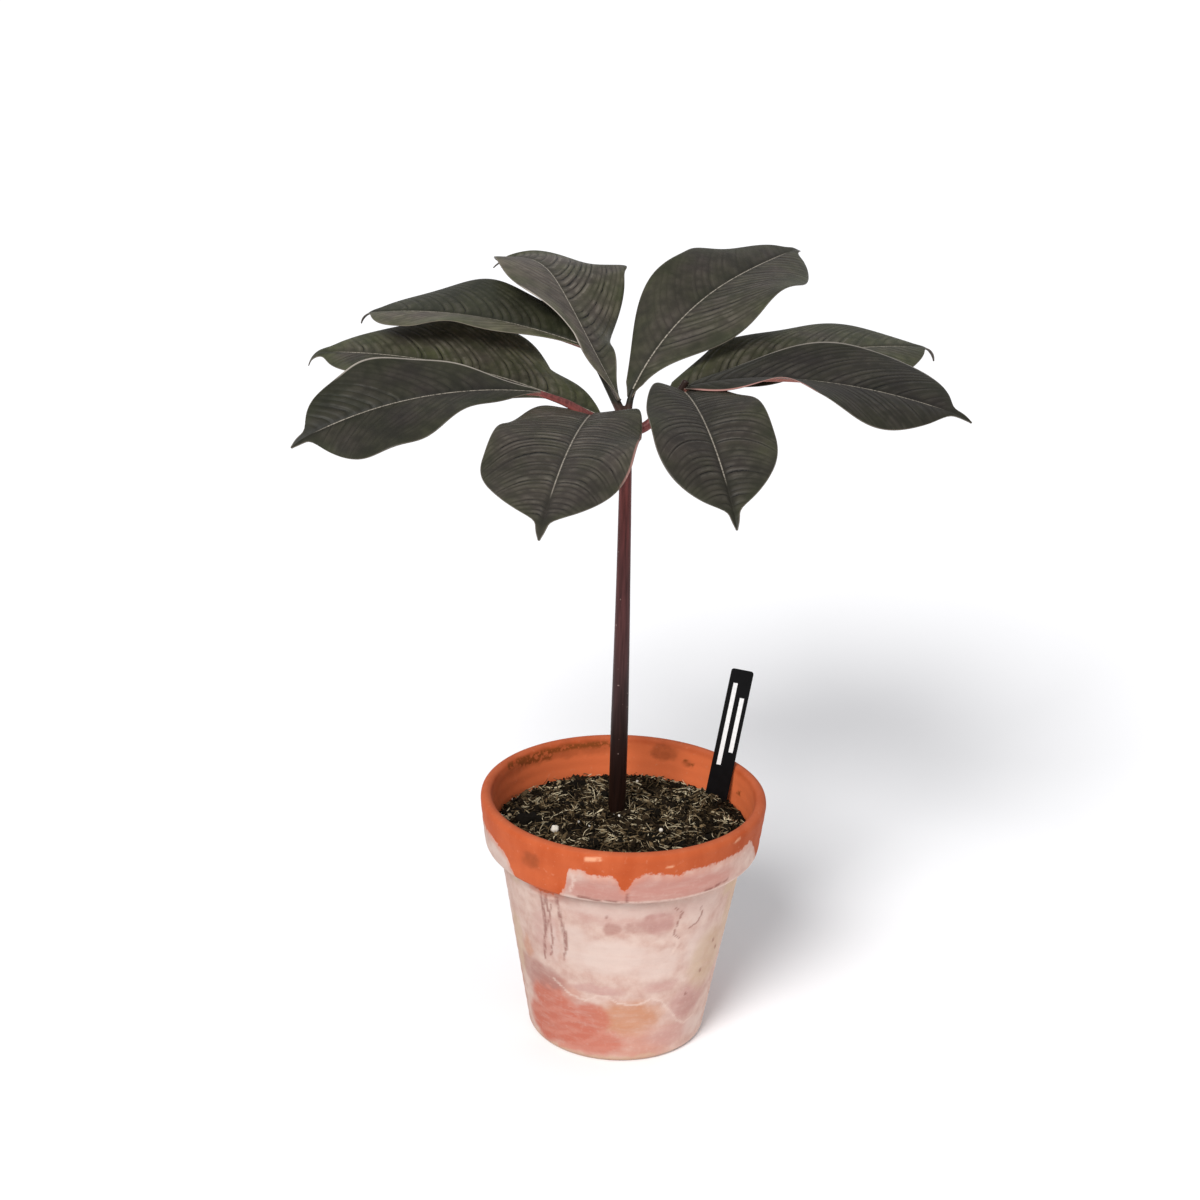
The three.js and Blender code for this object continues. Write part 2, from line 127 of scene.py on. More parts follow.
# Matt paper: flat white with a faint tooth, so that it takes a shadow with no shine. The tooth is drawn
# at 0.8 mm, coarser than the real one, so that it shows.
paper, shader, node = new_finish("matt_paper_sweep")
place = node("TexCoord", output="Object")
tooth = node("TexNoise", (place, 1 / (0.8 * MM), 2.0))
shader.inputs["Base Color"].default_value = tone(SWEEP_WHITE)
shader.inputs["Roughness"].default_value = 1.0
shader.inputs["Specular IOR Level"].default_value = 0.0
node("Bump", {"Height": tooth, "Strength": 0.02, "Distance": 0.1 * MM}, into="Normal")
half = SWEEP_HALF_WIDTH * MM
sweep_mesh = bpy.data.meshes.new("paper_sweep")
sweep_mesh.from_pydata(
    [(-half, -half, 0), (half, -half, 0), (half, half, 0), (-half, half, 0)], [], [(0, 1, 2, 3)],
)
sweep_mesh.materials.append(paper)
sweep = bpy.data.objects.new("paper_sweep", sweep_mesh)
scene.collection.objects.link(sweep)

lamp_data = bpy.data.lights.new("broad_lamp", "SUN")
lamp_data.energy = LAMP_STRENGTH
lamp_data.angle = math.radians(LAMP_SPREAD)
lamp = bpy.data.objects.new("broad_lamp", lamp_data)
heading = math.radians(LAMP_HEADING)
elevation = math.radians(LAMP_ELEVATION)
shine = Vector((
    math.cos(elevation) * math.cos(heading),
    math.cos(elevation) * math.sin(heading),
    -math.sin(elevation),
))
lamp.rotation_euler = shine.to_track_quat("-Z", "Y").to_euler()
scene.collection.objects.link(lamp)

pitch = math.radians(CAMERA_PITCH)
roll = math.radians(CAMERA_ROLL)
ahead = Vector((0, math.cos(pitch), -math.sin(pitch)))
level = Vector((1, 0, 0))
below = Vector((0, -math.sin(pitch), -math.cos(pitch)))
across = math.cos(roll) * level - math.sin(roll) * below
down = math.sin(roll) * level + math.cos(roll) * below
foot = Vector(POT_AXIS)
eye = foot + (-(math.cos(roll) * CAMERA_RIGHT + math.sin(roll) * CAMERA_DOWN)) * level
eye += (math.sin(roll) * CAMERA_RIGHT - math.cos(roll) * CAMERA_DOWN) * below
eye -= CAMERA_DISTANCE * ahead
camera_data = bpy.data.cameras.new("camera")
camera_data.lens = LENS
camera_data.sensor_width = SENSOR
camera = bpy.data.objects.new("camera", camera_data)
turn = Matrix((across, -down, -ahead)).transposed()
camera.matrix_world = Matrix.Translation(eye * MM) @ turn.to_4x4()
scene.collection.objects.link(camera)
scene.camera = camera

# Pot. A wheel-thrown flower pot of red earthenware with a broad rim band and a drain hole. Lime wash
# was brushed over the outside up to the rim, where it stops in a ragged edge with a few runs, and it
# has weathered to mauve, salmon, ochre and chalky patches. Each corner is a radius, a height, the cut
# that rounds it, and the step between points from there on.
POT_PROFILE = [
    (11, 0, 1.0, 3),
    (44.5, 0, 1.0, 1),
    (46.5, 2, 1.6, 1),
    (64.4, 105.6, 0.7, 1),
    (70.6, 106, 0.8, 1),
    (71.8, 107.6, 1.0, 1),
    (74.8, 131, 1.0, 1),
    (74.2, 134, 1.2, 1),
    (71.75, 135.1, 1.1, 1),
    (69.2, 134, 1.2, 1.4),
    (68.4, 131.5, 1.0, 1.4),
    (67, 112, 1.0, 3),
    (59.6, 105.5, 2.0, 3),
    (58.4, 98, 2.0, 3),
    (40.5, 8, 2.5, 3),
    (11, 8, 1.0, 3),
]
POT_SIDES = 330
WASH_EDGE = [
    (-180, 121), (-158, 123), (-141, 112), (-133, 121), (-112, 124), (-98, 117), (-88, 122),
    (-64, 121), (-55, 118), (-50, 108), (-47, 102), (-41, 100.6), (-33, 101.6), (-27, 105), (-24.4, 109.5),
    (-22.6, 114.4), (-21.6, 123.4), (-16.3, 125.2), (-12.4, 122), (-4, 122.5), (-1.9, 120.3),
    (-0.9, 116.6), (0.5, 114.4),
    (2, 114.5), (3.1, 117), (4.2, 120), (6.5, 122.3), (9.9, 124.6), (17.9, 123), (23, 121.3),
    (26.3, 123.4), (45.8, 123.4), (56, 124.2),
    (62, 126.2), (66, 121), (75.3, 108.4), (90, 106), (101, 116), (118, 123), (131, 119), (139, 108),
    (146, 121), (163, 124), (180, 121),
]
# The wash is painted darker towards the left, as painted shade against the lamp's stronger light there:
# how much of its brightness is left at each angle
WASH_PAINTED_SHADE = [(-180, 0.8), (-90, 0.78), (-50, 0.74), (-15, 0.79), (15, 0.88), (45, 1.0), (80, 1.08),
             (150, 0.9), (180, 0.8)]
# Daubs of each colour: degrees round from the front, height, half width in degrees, half height, strength.
# A degree is about a millimetre on this wall.
DAUBS = {
    "mauve": [
        (8, 94, 36, 6, 0.35), (44, 33, 13, 11, 0.8), (18, 90, 9, 7, 0.8), (-40, 75, 9, 16, 0.4),
        (-12, 46.5, 14, 3, 0.7), (36, 14, 18, 7, 0.6), (24, 48, 9, 4, 0.6), (105, 50, 22, 16, 0.8),
        (165, 82, 25, 12, 0.8), (-120, 66, 22, 16, 0.8), (-160, 98, 16, 8, 0.6),
    ],
    "plum": [
        (-3.8, 86, 3.4, 3.6, 0.7), (4.3, 86.5, 4, 3, 0.6), (13, 88, 7, 6, 0.5), (22, 88, 4, 8, 0.35),
        (-45, 45, 15, 7, 0.8), (-60, 44, 7, 9, 0.6), (-33, 100, 12, 4, 0.5), (45, 30, 8, 7, 0.35),
        (120, 88, 8, 4, 0.6), (-150, 60, 10, 5, 0.5),
    ],
    "salmon": [
        (-43, 32, 15, 12, 1.0), (-30, 20, 22, 15, 1.0), (-50, 15, 17, 12, 1.0), (-16, 27, 12, 10, 0.9),
        (-12, 12, 16, 8, 0.8), (140, 20, 26, 12, 0.9), (-140, 28, 24, 12, 0.8),
    ],
    "blush": [
        (-8, 9, 46, 13, 0.75), (24, 14, 22, 9, 0.4), (-35, 41, 14, 7, 0.5), (150, 12, 40, 10, 0.7),
        (-130, 10, 30, 10, 0.6),
    ],
    "ochre": [
        (6, 29, 19, 10.5, 0.9), (20, 31, 9, 6, 0.5), (-57, 58, 4, 8, 0.5), (178, 40, 20, 14, 0.7),
        (-92, 30, 14, 12, 0.8),
    ],
    "straw": [
        (-20, 1.5, 60, 2.5, 0.6), (56, 57, 15, 18, 0.65), (72, 80, 8, 22, 0.6), (70, 97, 12, 6, 0.9),
        (-70, 55, 8, 18, 0.6),
        (-62, 99, 7, 4, 0.4), (96, 86, 14, 14, 0.8), (-98, 92, 14, 8, 0.6),
    ],
    "chalk": [
        (-4, 68, 20, 11, 0.9), (-22, 72, 8, 13, 0.7), (20, 62, 12, 10, 0.7), (44, 68, 9, 13, 0.6),
        (-35, 70, 3, 11, 0.6), (58, 13, 12, 6, 0.6), (-4, 98, 24, 4.5, 0.5), (42, 93, 12, 9, 0.5),
        (-26, 3, 34, 3.5, 0.35), (130, 72, 20, 14, 0.9),
        (-165, 60, 24, 12, 0.9), (-85, 75, 12, 12, 0.7), (-62, 112, 9, 5, 0.7),
    ],
    "rim_pink": [(12, 113, 40, 9, 1.0), (120, 113, 30, 9, 0.7), (-125, 113, 24, 8, 0.8)],
    "smudge": [(-39, 121.5, 4.5, 4.5, 1.0), (161, 128.5, 6, 4.5, 1.0), (148, 125, 3, 1.6, 1.0),
               (-148, 129.5, 36, 4, 0.6)],
}
# Brush strokes and dribbles: a half width and the places that it passes
PALE_STROKES = [
    (0.55, (-38, 47), (-33, 43.7), (-27, 40.1), (-18.4, 38.5), (-11.2, 43), (-5.8, 42.8), (0, 39.2),
     (10.9, 37.4), (19.1, 41.2), (25.4, 38.4), (32.4, 29.6), (38.1, 23.1), (45.4, 18.3), (54, 20.4)),
    (0.9, (29, 78), (30, 73), (27.5, 68.5)),
    (0.6, (-20.6, 122), (-19, 118), (-20.5, 111)),
    (1.0, (-13.5, 131), (-9, 131.6)),
    (0.6, (18, 127), (19.5, 127.2)),
    (0.7, (50, 130.8), (52, 131)),
    (0.9, (-52, 97), (-37, 98), (-31, 99)),
]
PINK_STROKES = [
    (1.3, (-62, 18), (-47, 23), (-36, 28)),
    (1.0, (-45, 17), (-33, 21), (-22, 26)),
    (1.2, (-54, 9), (-38, 12), (-24, 17)),
    (1.0, (-30, 8), (-14, 13), (-8, 20)),
    (1.5, (-38, 4), (-20, 7), (-4, 9)),
    (0.9, (-44, 40), (-36, 38), (-26, 33)),
]
DARK_STROKES = [
    (1.0, (-40.6, 99), (-39.5, 88), (-39.2, 80.7), (-40.2, 76)),
    (0.6, (-40.2, 76), (-41.2, 70.8), (-42.7, 58)),
    (0.8, (-31, 100), (-30.3, 90), (-28.2, 80)),
    (1.1, (-28.2, 80), (-27.6, 74), (-28.2, 69.5)),
    (0.6, (-28.2, 69.5), (-29.4, 62)),
    (0.5, (-35, 94), (-36.7, 82), (-35.3, 73), (-38, 62)),
    (0.7, (-37.6, 99), (-36.9, 90)),
    (0.4, (1.8, 113), (2.2, 107.5)),
    (0.35, (29.7, 92), (27, 81), (31, 77)),
    (0.45, (36, 82.5), (41, 84.4), (43, 88.7), (41, 93)),
    (0.6, (-17, 108.2), (-9, 107.6)),
    (0.5, (-6, 107.8), (-1.5, 107.6)),
    (0.6, (36, 108.4), (39, 108.8)),
    (0.7, (41, 109), (44, 109.6)),
    (0.5, (46, 109.4), (48, 110)),
    (0.6, (51, 50.4), (51.8, 49)),
    (0.6, (76, 36.6), (77, 35.4)),
    (0.6, (41, 38.6), (42, 37.6)),
    (0.6, (58, 66), (58.6, 64.6)),
    (0.7, (63, 60), (64.4, 58)),
    (0.4, (26, 97), (27, 95.5)),
    (0.4, (29.5, 94), (30.5, 92.6)),
    (0.5, (-6.6, 93.8), (-6, 92.8)),
]
STAIN_STROKES = [
    (1.5, (-118, 132.6), (-132, 131.4), (-146, 131), (-160, 131), (-178, 130.4)),
    (1.2, (-126, 130), (-133, 128.6), (-144, 127.6)),
    (0.8, (112, 123.5), (115, 122)),
    (0.6, (150, 126.4), (146, 125)),
]


def soften(corners):
    """A closed outline through the corners, each cut by a curve of its own size, with its own steps."""
    marks = []
    for i, (r, z, cut, step) in enumerate(corners):
        here = np.array((r, z), float)
        before = np.array(corners[i - 1][:2], float) - here
        after = np.array(corners[(i + 1) % len(corners)][:2], float) - here
        enter = here + before * (cut / np.linalg.norm(before))
        leave = here + after * (cut / np.linalg.norm(after))
        for u in (0.0, 0.25, 0.5, 0.75, 1.0):
            marks.append(((1 - u) ** 2 * enter + 2 * u * (1 - u) * here + u * u * leave, step))
    outline = []
    for i, (start, step) in enumerate(marks):
        end = marks[(i + 1) % len(marks)][0]
        count = max(1, round(np.linalg.norm(end - start) / step))
        for k in range(count):
            outline.append(start + (end - start) * (k / count))
    return np.array(outline)


def piece_of(name, points, faces, finish, fields=None):
    """An object from points in millimetres, with smooth faces, one finish and a number for each point."""
    mesh = bpy.data.meshes.new(name)
    mesh.from_pydata((np.asarray(points) * MM).tolist(), [], faces)
    mesh.materials.append(finish)
    mesh.shade_smooth()
    for field, values in (fields or {}).items():
        marks = mesh.attributes.new(field, "FLOAT", "POINT")
        marks.data.foreach_set("value", np.asarray(values, np.float32))
    made = bpy.data.objects.new(name, mesh)
    scene.collection.objects.link(made)
    return made


def ring_faces(rows, sides, closed_rows):
    """Quads between rings of points, and from the last ring to the first where the rows close."""
    grid = np.arange(rows * sides).reshape(rows, sides)
    ahead = np.roll(grid, -1, axis=0)
    if not closed_rows:
        grid = grid[:-1]
        ahead = ahead[:-1]
    quads = np.stack([grid, np.roll(grid, -1, 1), np.roll(ahead, -1, 1), ahead], axis=-1)
    return quads.reshape(-1, 4).tolist()


def drift(points, size):
    """Three numbers at each point, about -1 to 1, that wander over the given size."""
    return np.array([noise.noise_vector(Vector(p) / size)[:] for p in points])


def ease(x):
    """0 below 0, 1 above 1 and a smooth step between."""
    x = np.clip(x, 0, 1)
    return x * x * (3 - 2 * x)


def daubs(spots, angle, height):
    """How much of a colour shows at each point of the wall, from oval daubs."""
    total = np.zeros_like(angle)
    for middle, level_up, wide, tall, strength in spots:
        turn_by = (angle - middle + 180) % 360 - 180
        out = np.hypot(turn_by / wide, (height - level_up) / tall)
        total = np.maximum(total, strength * ease((1.32 - out) / 0.65))
    return total


def strokes(lines, angle, height):
    """How much of a brush stroke shows at each point of the wall."""
    total = np.zeros_like(angle)
    for half_width, *places in lines:
        for (from_angle, from_height), (to_angle, to_height) in zip(places, places[1:]):
            run_angle = to_angle - from_angle
            run_height = to_height - from_height
            off_angle = (angle - from_angle + 180) % 360 - 180
            off_height = height - from_height
            share = (off_angle * run_angle + off_height * run_height) / (run_angle ** 2 + run_height ** 2)
            share = np.clip(share, 0, 1)
            apart = np.hypot(off_angle - share * run_angle, off_height - share * run_height)
            total = np.maximum(total, ease(1.6 - apart / half_width))
    return total


outline = soften(POT_PROFILE)
angle = np.linspace(-180, 180, POT_SIDES, endpoint=False)
angle_grid, radius_grid = np.meshgrid(angle, outline[:, 0])
height_grid = np.meshgrid(angle, outline[:, 1])[1]
bearing = np.radians(angle_grid)
throw = 0.22 * np.sin(2 * bearing + 0.9) + 0.12 * np.sin(3 * bearing - 0.4 + height_grid * 0.02)
ridges = 0.07 * np.sin(height_grid * 2 * math.pi / 7.3 + 0.6 * np.sin(bearing))
along_wall = np.arange(len(outline))[:, None] * np.ones_like(bearing)
lip_row = int(np.argmax(outline[:, 1]))
outside = along_wall <= lip_row
edge = np.interp(angle_grid, [a for a, _ in WASH_EDGE], [h for _, h in WASH_EDGE])
washed = np.clip((edge - height_grid) / 1.5, 0, 1) * outside * np.clip(height_grid / 3, 0, 1)
radius_grid = radius_grid + (throw + ridges) * np.clip(height_grid / 6, 0, 1) + 0.12 * washed
points = np.stack([
    radius_grid * np.sin(bearing),
    -radius_grid * np.cos(bearing),
    height_grid + 0.25 * np.sin(bearing + 0.7) * np.clip((height_grid - 110) / 20, 0, 1),
], axis=-1).reshape(-1, 3)

torn = 2.2 * drift(points, 6) + 0.8 * drift(points, 2)
torn_angle = angle_grid + torn[:, 0].reshape(angle_grid.shape)
torn_height = height_grid + torn[:, 1].reshape(angle_grid.shape)
sway_angle = angle_grid + 0.25 * torn[:, 0].reshape(angle_grid.shape)
sway_height = height_grid + 0.25 * torn[:, 1].reshape(angle_grid.shape)
fields = {name: daubs(spots, torn_angle, torn_height) for name, spots in DAUBS.items()}
fields["bare"] = np.where(outside, height_grid - edge, 30.0)
fields["fade"] = np.interp(angle_grid, [a for a, _ in WASH_PAINTED_SHADE], [share for _, share in WASH_PAINTED_SHADE])
fields["pale"] = strokes(PALE_STROKES, sway_angle, sway_height) * outside
fields["pink"] = strokes(PINK_STROKES, torn_angle, sway_height) * outside
fields["dark"] = strokes(DARK_STROKES, sway_angle, sway_height) * outside
fields["stain"] = strokes(STAIN_STROKES, sway_angle, sway_height) * ~outside
fields["bead"] = ease(1.6 - abs(height_grid - 106.9) / 1.0) * outside
fields["lip"] = ease((height_grid - 133.2) / 1.5)
# The inner wall below the lip takes the brighter inside clay, partly painted light against the wall's shade
fields["inside"] = 0.85 * ease((133.5 - height_grid) / 4) * ~outside
fields = {name: values.reshape(-1) for name, values in fields.items()}

# Fired red earthenware, dry and unglazed: dull, with a fine sandy grain and slow shifts of colour, and
# dusty along the lip. The lime wash on it is chalky and flat, thin enough for the red to stain it. The
# sand grains of about 0.2 mm are drawn at 0.7 mm, so that they show.
CLAY_LIGHT = "#b95930"
CLAY_DEEP = "#ab491e"
# Bare clay inside: partly its own unwashed colour, partly painted light against the shade of the wall
CLAY_INSIDE_PAINTED_LIGHT = "#da6e3f"
CLAY_DUST = "#b87860"
CLAY_FLECK = "#d08c6c"
CLAY_SMUDGE = "#78350f"
CLAY_SCRATCH = "#dda27e"
WASH_CREAM = "#dabfb2"
WASH_DULL = "#c8a396"
WASH_EDGE_RUST = "#c2765c"
DAUB_COLOURS = {
    "blush": "#c98a76",
    "mauve": "#c2978f",
    "chalk": "#dcc5ba",
    "straw": "#ccb093",
    "ochre": "#c58a69",
    "salmon": "#c2705c",
    "plum": "#ab7a70",
    "rim_pink": "#bf897d",
}
STROKE_PALE = "#dfc5b8"
STROKE_COLOURS = {"pink": "#ca8573", "bead": STROKE_PALE, "pale": STROKE_PALE, "dark": "#8a564c"}
STAIN_BROWN = "#7a3c08"
pot_finish, shader, node = new_finish("lime_washed_red_earthenware")
place = node("TexCoord", output="Object")
cloud = node("TexNoise", (place, 1 / (9 * MM), 5, 0.6))
flecks = node("TexNoise", (place, 1 / (2.2 * MM), 4))
sand = node("TexNoise", (place, 1 / (0.7 * MM), 2))
brushed = node("Mapping", {"Vector": place, "Rotation": (0, math.radians(-20), 0), "Scale": (1, 1, 4.5)})
bristle = node("TexNoise", (brushed, 1 / (14 * MM), 6, 0.65))
thrown = node("Mapping", {"Vector": place, "Scale": (1, 1, 0.5)})
smear = node("TexNoise", (thrown, 1 / (12 * MM), 4))
mark = {name: node("Attribute", output="Fac", attribute_name=name) for name in fields}
clay_mix = node("MapRange", (smear, 0.3, 0.7))
clay = node("MixRGB", (clay_mix, tone(CLAY_DEEP), tone(CLAY_LIGHT)))
dust = node("Math", (mark["lip"], 0.12), operation="MULTIPLY")
clay_flecks = node("MapRange", (flecks, 0.62, 0.75, 0, 0.25))
smudged = node("Math", (mark["smudge"], cloud), operation="MULTIPLY")
stain_gaps = node("MapRange", (flecks, 0.4, 0.52, 0, 0.9))
stained = node("Math", (mark["stain"], stain_gaps), operation="MULTIPLY")
broken = node("MapRange", (flecks, 0.2, 0.5, 0, 0.75))
scratched = node("Math", (mark["pale"], broken), operation="MULTIPLY")
for amount, colour in (
    (mark["inside"], CLAY_INSIDE_PAINTED_LIGHT), (dust, CLAY_DUST), (clay_flecks, CLAY_FLECK), (smudged, CLAY_SMUDGE),
    (stained, STAIN_BROWN), (scratched, CLAY_SCRATCH),
):
    clay = node("MixRGB", (amount, clay, tone(colour)))
wash_mix = node("MapRange", (cloud, 0.35, 0.65))
wash = node("MixRGB", (wash_mix, tone(WASH_DULL), tone(WASH_CREAM)))
streaky = node("MapRange", (bristle, 0.32, 0.55, 0.68, 1))
for name, colour in DAUB_COLOURS.items():
    amount = node("Math", (mark[name], streaky), operation="MULTIPLY")
    wash = node("MixRGB", (amount, wash, tone(colour)))
wash_flecks = node("MapRange", (flecks, 0.55, 0.8, 0, 0.2))
wash = node("MixRGB", (wash_flecks, wash, tone(STROKE_PALE)))
for name, colour in STROKE_COLOURS.items():
    amount = node("Math", (mark[name], broken), operation="MULTIPLY")
    wash = node("MixRGB", (amount, wash, tone(colour)))
# Painted shade: the wash is darkened by angle, most towards the left
wash = node("MixRGB", (1, wash, mark["fade"]), blend_type="MULTIPLY")
ragged = node("Math", (flecks, 5, -2.5), operation="MULTIPLY_ADD")
reach = node("Math", (mark["bare"], ragged), operation="ADD")
rusty = node("MapRange", (reach, -5, -0.8, 0, 0.4))
wash = node("MixRGB", (rusty, wash, tone(WASH_EDGE_RUST)))
bare = node("MapRange", (reach, -0.8, 0.3))
node("MixRGB", (bare, wash, clay), into="Base Color")
node("MapRange", (bare, 0, 1, 0.92, 0.8), into="Roughness")
wash_height = node("Math", (bare, -0.8), operation="MULTIPLY")
grain_height = node("Math", (sand, flecks), operation="ADD")
surface = node("Math", (wash_height, grain_height), operation="ADD")
node("Bump", {"Height": surface, "Strength": 0.35, "Distance": 0.25 * MM}, into="Normal")
shader.inputs["IOR"].default_value = 1.5
shader.inputs["Specular IOR Level"].default_value = 0.3
pot_faces = ring_faces(len(outline), POT_SIDES, True)
pot = piece_of("washed_clay_pot", points + POT_AXIS, pot_faces, pot_finish, fields)
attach(pot, "root")
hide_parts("pot")

# Potting mix. Peat and coir fibre with bark crumbs and a few beads of perlite, filled to a little
# below the lip and mounded towards the stalk. The bed fills the pot down to its drain hole, and the
# loose clods, crumbs, strands and beads lie on it.
SOIL_EDGE_HEIGHT = 113.8
SOIL_EDGE_RADIUS = 66.7
SOIL_DOME = 5.2
SOIL_FALL = 0.02
SOIL_EDGE_EASE = 8
SOIL_MOUNDS = [(46, 24, 5, 15), (-22, 50, 1.8, 9), (-5, 50, -2.6, 10), (20, 52, 1.4, 12), (-42, 4, 1.3, 14),
               (14, -22, 1.2, 14), (-16, -30, -1.2, 12), (-3.5, 6.5, -2.4, 6)]
SOIL_SIDES = 180
SOIL_RINGS = 60
BED_WALL = [(0.01, 8.3), (30, 8.3), (40.1, 8.3), (58.1, 98), (59.3, 105.7), (66.7, 112.2)]
CLODS = [(-48, -3, 7), (-53, 9, 4.5), (3, 20.8, 4), (16.2, 8, 4.6), (-37.7, -12, 5), (-24, 45, 5.5),
         (34, 21, 3.6),
         (15, -23, 4.5), (-14, -27, 4.2), (-9, 31, 4), (54, -8, 3.5), (-30, 20, 4), (30, -28, 3.8),
         (4, -44, 4),
         (-60, -9, 4.4), (-57, -20, 4), (-60.5, 9, 4.2), (44, -38, 3.5), (-44, -34, 4)]
DRY_CLODS = [(2.4, 5.6, 4.2), (6, 1, 3)]
CRUMB_COUNT = 3300
STRAND_COUNT = 2600
TWIG_COUNT = 330
SPRIG_COUNT = 70
BEAD_SPOTS = [(-35, -17.8, 2.1), (-1.6, 2.3, 0.9), (19.9, -17.3, 1.1), (-58.3, 27.6, 0.8), (-23, -8.1, 0.8),
              (-63.5, 5.9, 0.7), (-4.6, 6.1, 0.6), (-17, -12, 0.7), (36, 44, 0.7), (8, 52, 0.8)]


def soil_top(x, y):
    """Height of the mix over the pot's foot at a place given from the pot's axis."""
    out = np.minimum(1, np.hypot(x, y) / SOIL_EDGE_RADIUS)
    edge_ease = np.minimum(1, SOIL_EDGE_EASE * (1 - out))
    height = SOIL_EDGE_HEIGHT + SOIL_DOME * (1 - out * out) - SOIL_FALL * y
    for mound_x, mound_y, rise, radius in SOIL_MOUNDS:
        apart = (x - mound_x) ** 2 + (y - mound_y) ** 2
        height = height + edge_ease * rise * np.exp(-apart / radius ** 2)
    return height


def rough(points, size, depth):
    """A random height at each point, from noise with bumps of about the given size."""
    return np.array([depth * noise.fractal(Vector(p) / size, 1.0, 2.0, 3) for p in points])


bed_angle = np.linspace(0, 2 * math.pi, SOIL_SIDES, endpoint=False)
bed_rows = [(radius, height, 0.0) for radius, height in BED_WALL]
for k in range(SOIL_RINGS + 1):
    bed_rows.append((SOIL_EDGE_RADIUS * (1 - k / SOIL_RINGS) + 0.01, SOIL_EDGE_HEIGHT, 1.0))
bed_points = []
for radius, height, top in bed_rows:
    x = radius * np.cos(bed_angle)
    y = radius * np.sin(bed_angle)
    z = soil_top(x, y) if top else np.full_like(x, height)
    bed_points.append(np.stack([x, y, z], axis=-1))
bed_points = np.concatenate(bed_points)
loose = np.repeat([top for _, _, top in bed_rows], SOIL_SIDES)
bed_points[:, 2] += loose * (rough(bed_points, 3.5, 2.0) + rough(bed_points + 90, 9, 1.6))
bed_faces = ring_faces(len(bed_rows), SOIL_SIDES, False)
bed_faces.append(list(range(SOIL_SIDES))[::-1])
bed_faces.append(list(range((len(bed_rows) - 1) * SOIL_SIDES, len(bed_rows) * SOIL_SIDES)))

# Damp peat: almost black and crumbly, with browner grains that have dried, and no shine.
PEAT_DARK = "#100c08"
PEAT_BROWN = "#2d2214"
PEAT_DRY = "#5c4b34"
peat_finish, shader, node = new_finish("damp_peat_bed")
place = node("TexCoord", output="Object")
crumbly = node("TexNoise", (place, 1 / (1.6 * MM), 6.0, 0.7))
node(
    "ValToRGB", (crumbly,),
    stops=[(0.38, PEAT_DARK), (0.78, PEAT_DRY), (0.58, PEAT_BROWN)], into="Base Color")
node("Bump", {"Height": crumbly, "Strength": 0.8, "Distance": 0.6 * MM}, into="Normal")
shader.inputs["Roughness"].default_value = 0.95
shader.inputs["Specular IOR Level"].default_value = 0.08
bed = piece_of("potting_mix_bed", bed_points + POT_AXIS, bed_faces, peat_finish)

# Bark and peat crumbs, coir strands: each piece has its own shade, from wet black to dry straw.
crumb_finish, shader, node = new_finish("bark_crumbs_and_coir")
place = node("TexCoord", output="Object")
pitted = node("TexNoise", (place, 1 / (0.6 * MM), 3.0))
shade = node("Attribute", output="Fac", attribute_name="shade")
spread = node("Math", (pitted, 0.3, -0.15), operation="MULTIPLY_ADD")
mixed = node("Math", (shade, spread), operation="ADD")
node(
    "ValToRGB", (mixed,),
    stops=[(0, "#080603"), (1, "#d3c5a4"), (0.28, "#241b11"), (0.6, "#715f44")],
    into="Base Color")
node("Bump", {"Height": pitted, "Strength": 0.7, "Distance": 0.25 * MM}, into="Normal")
shader.inputs["Roughness"].default_value = 0.9
shader.inputs["Specular IOR Level"].default_value = 0.1


def ball(detail):
    """Points and triangles of a ball of radius 1."""
    mesh = bmesh.new()
    bmesh.ops.create_icosphere(mesh, subdivisions=detail, radius=1.0)
    points = np.array([v.co[:] for v in mesh.verts])
    faces = [[v.index for v in f.verts] for f in mesh.faces]
    mesh.free()
    return points, faces


def spin(rng, count):
    """Random turns as matrices."""
    q = rng.normal(size=(count, 4))
    q /= np.linalg.norm(q, axis=1, keepdims=True)
    w, x, y, z = q.T
    return np.stack([
        1 - 2 * (y * y + z * z), 2 * (x * y - z * w), 2 * (x * z + y * w),
        2 * (x * y + z * w), 1 - 2 * (x * x + z * z), 2 * (y * z - x * w),
        2 * (x * z - y * w), 2 * (y * z + x * w), 1 - 2 * (x * x + y * y),
    ], axis=-1).reshape(count, 3, 3)


def spots_on_soil(rng, count, inset):
    """Random places on the mix, from the pot's axis."""
    reach = (SOIL_EDGE_RADIUS - inset) * np.sqrt(rng.random(count))
    turn_by = 2 * math.pi * rng.random(count)
    x = reach * np.cos(turn_by)
    y = reach * np.sin(turn_by)
    return np.stack([x, y, soil_top(x, y)], axis=-1)


def dryness(x, y):
    """How dry and pale the mix is at a place, 0.4 in the damp hollows to 1.35 in the driest patches."""
    return float(np.clip(0.88 + 1.2 * noise.noise(Vector((x, y, 0)) / 10), 0.4, 1.35))


def tube(path, radii, sides):
    """Points and faces of a closed tube along a path, with a radius for each of its points."""
    path = np.asarray(path, float)
    run_along = np.gradient(path, axis=0)
    run_along /= np.linalg.norm(run_along, axis=1, keepdims=True)
    guide = np.array((0.0, 0.0, 1.0)) if abs(run_along[0][2]) < 0.8 else np.array((0.0, 1.0, 0.0))
    rings = []
    for middle, ahead, radius in zip(path, run_along, radii):
        side = np.cross(guide, ahead)
        side /= np.linalg.norm(side)
        guide = np.cross(ahead, side)
        turns = 2 * math.pi * np.arange(sides) / sides
        rings.append(middle + radius * (np.cos(turns)[:, None] * side + np.sin(turns)[:, None] * guide))
    faces = ring_faces(len(path), sides, False)
    faces.append(list(range(sides))[::-1])
    faces.append(list(range((len(path) - 1) * sides, len(path) * sides)))
    return np.concatenate(rings), faces


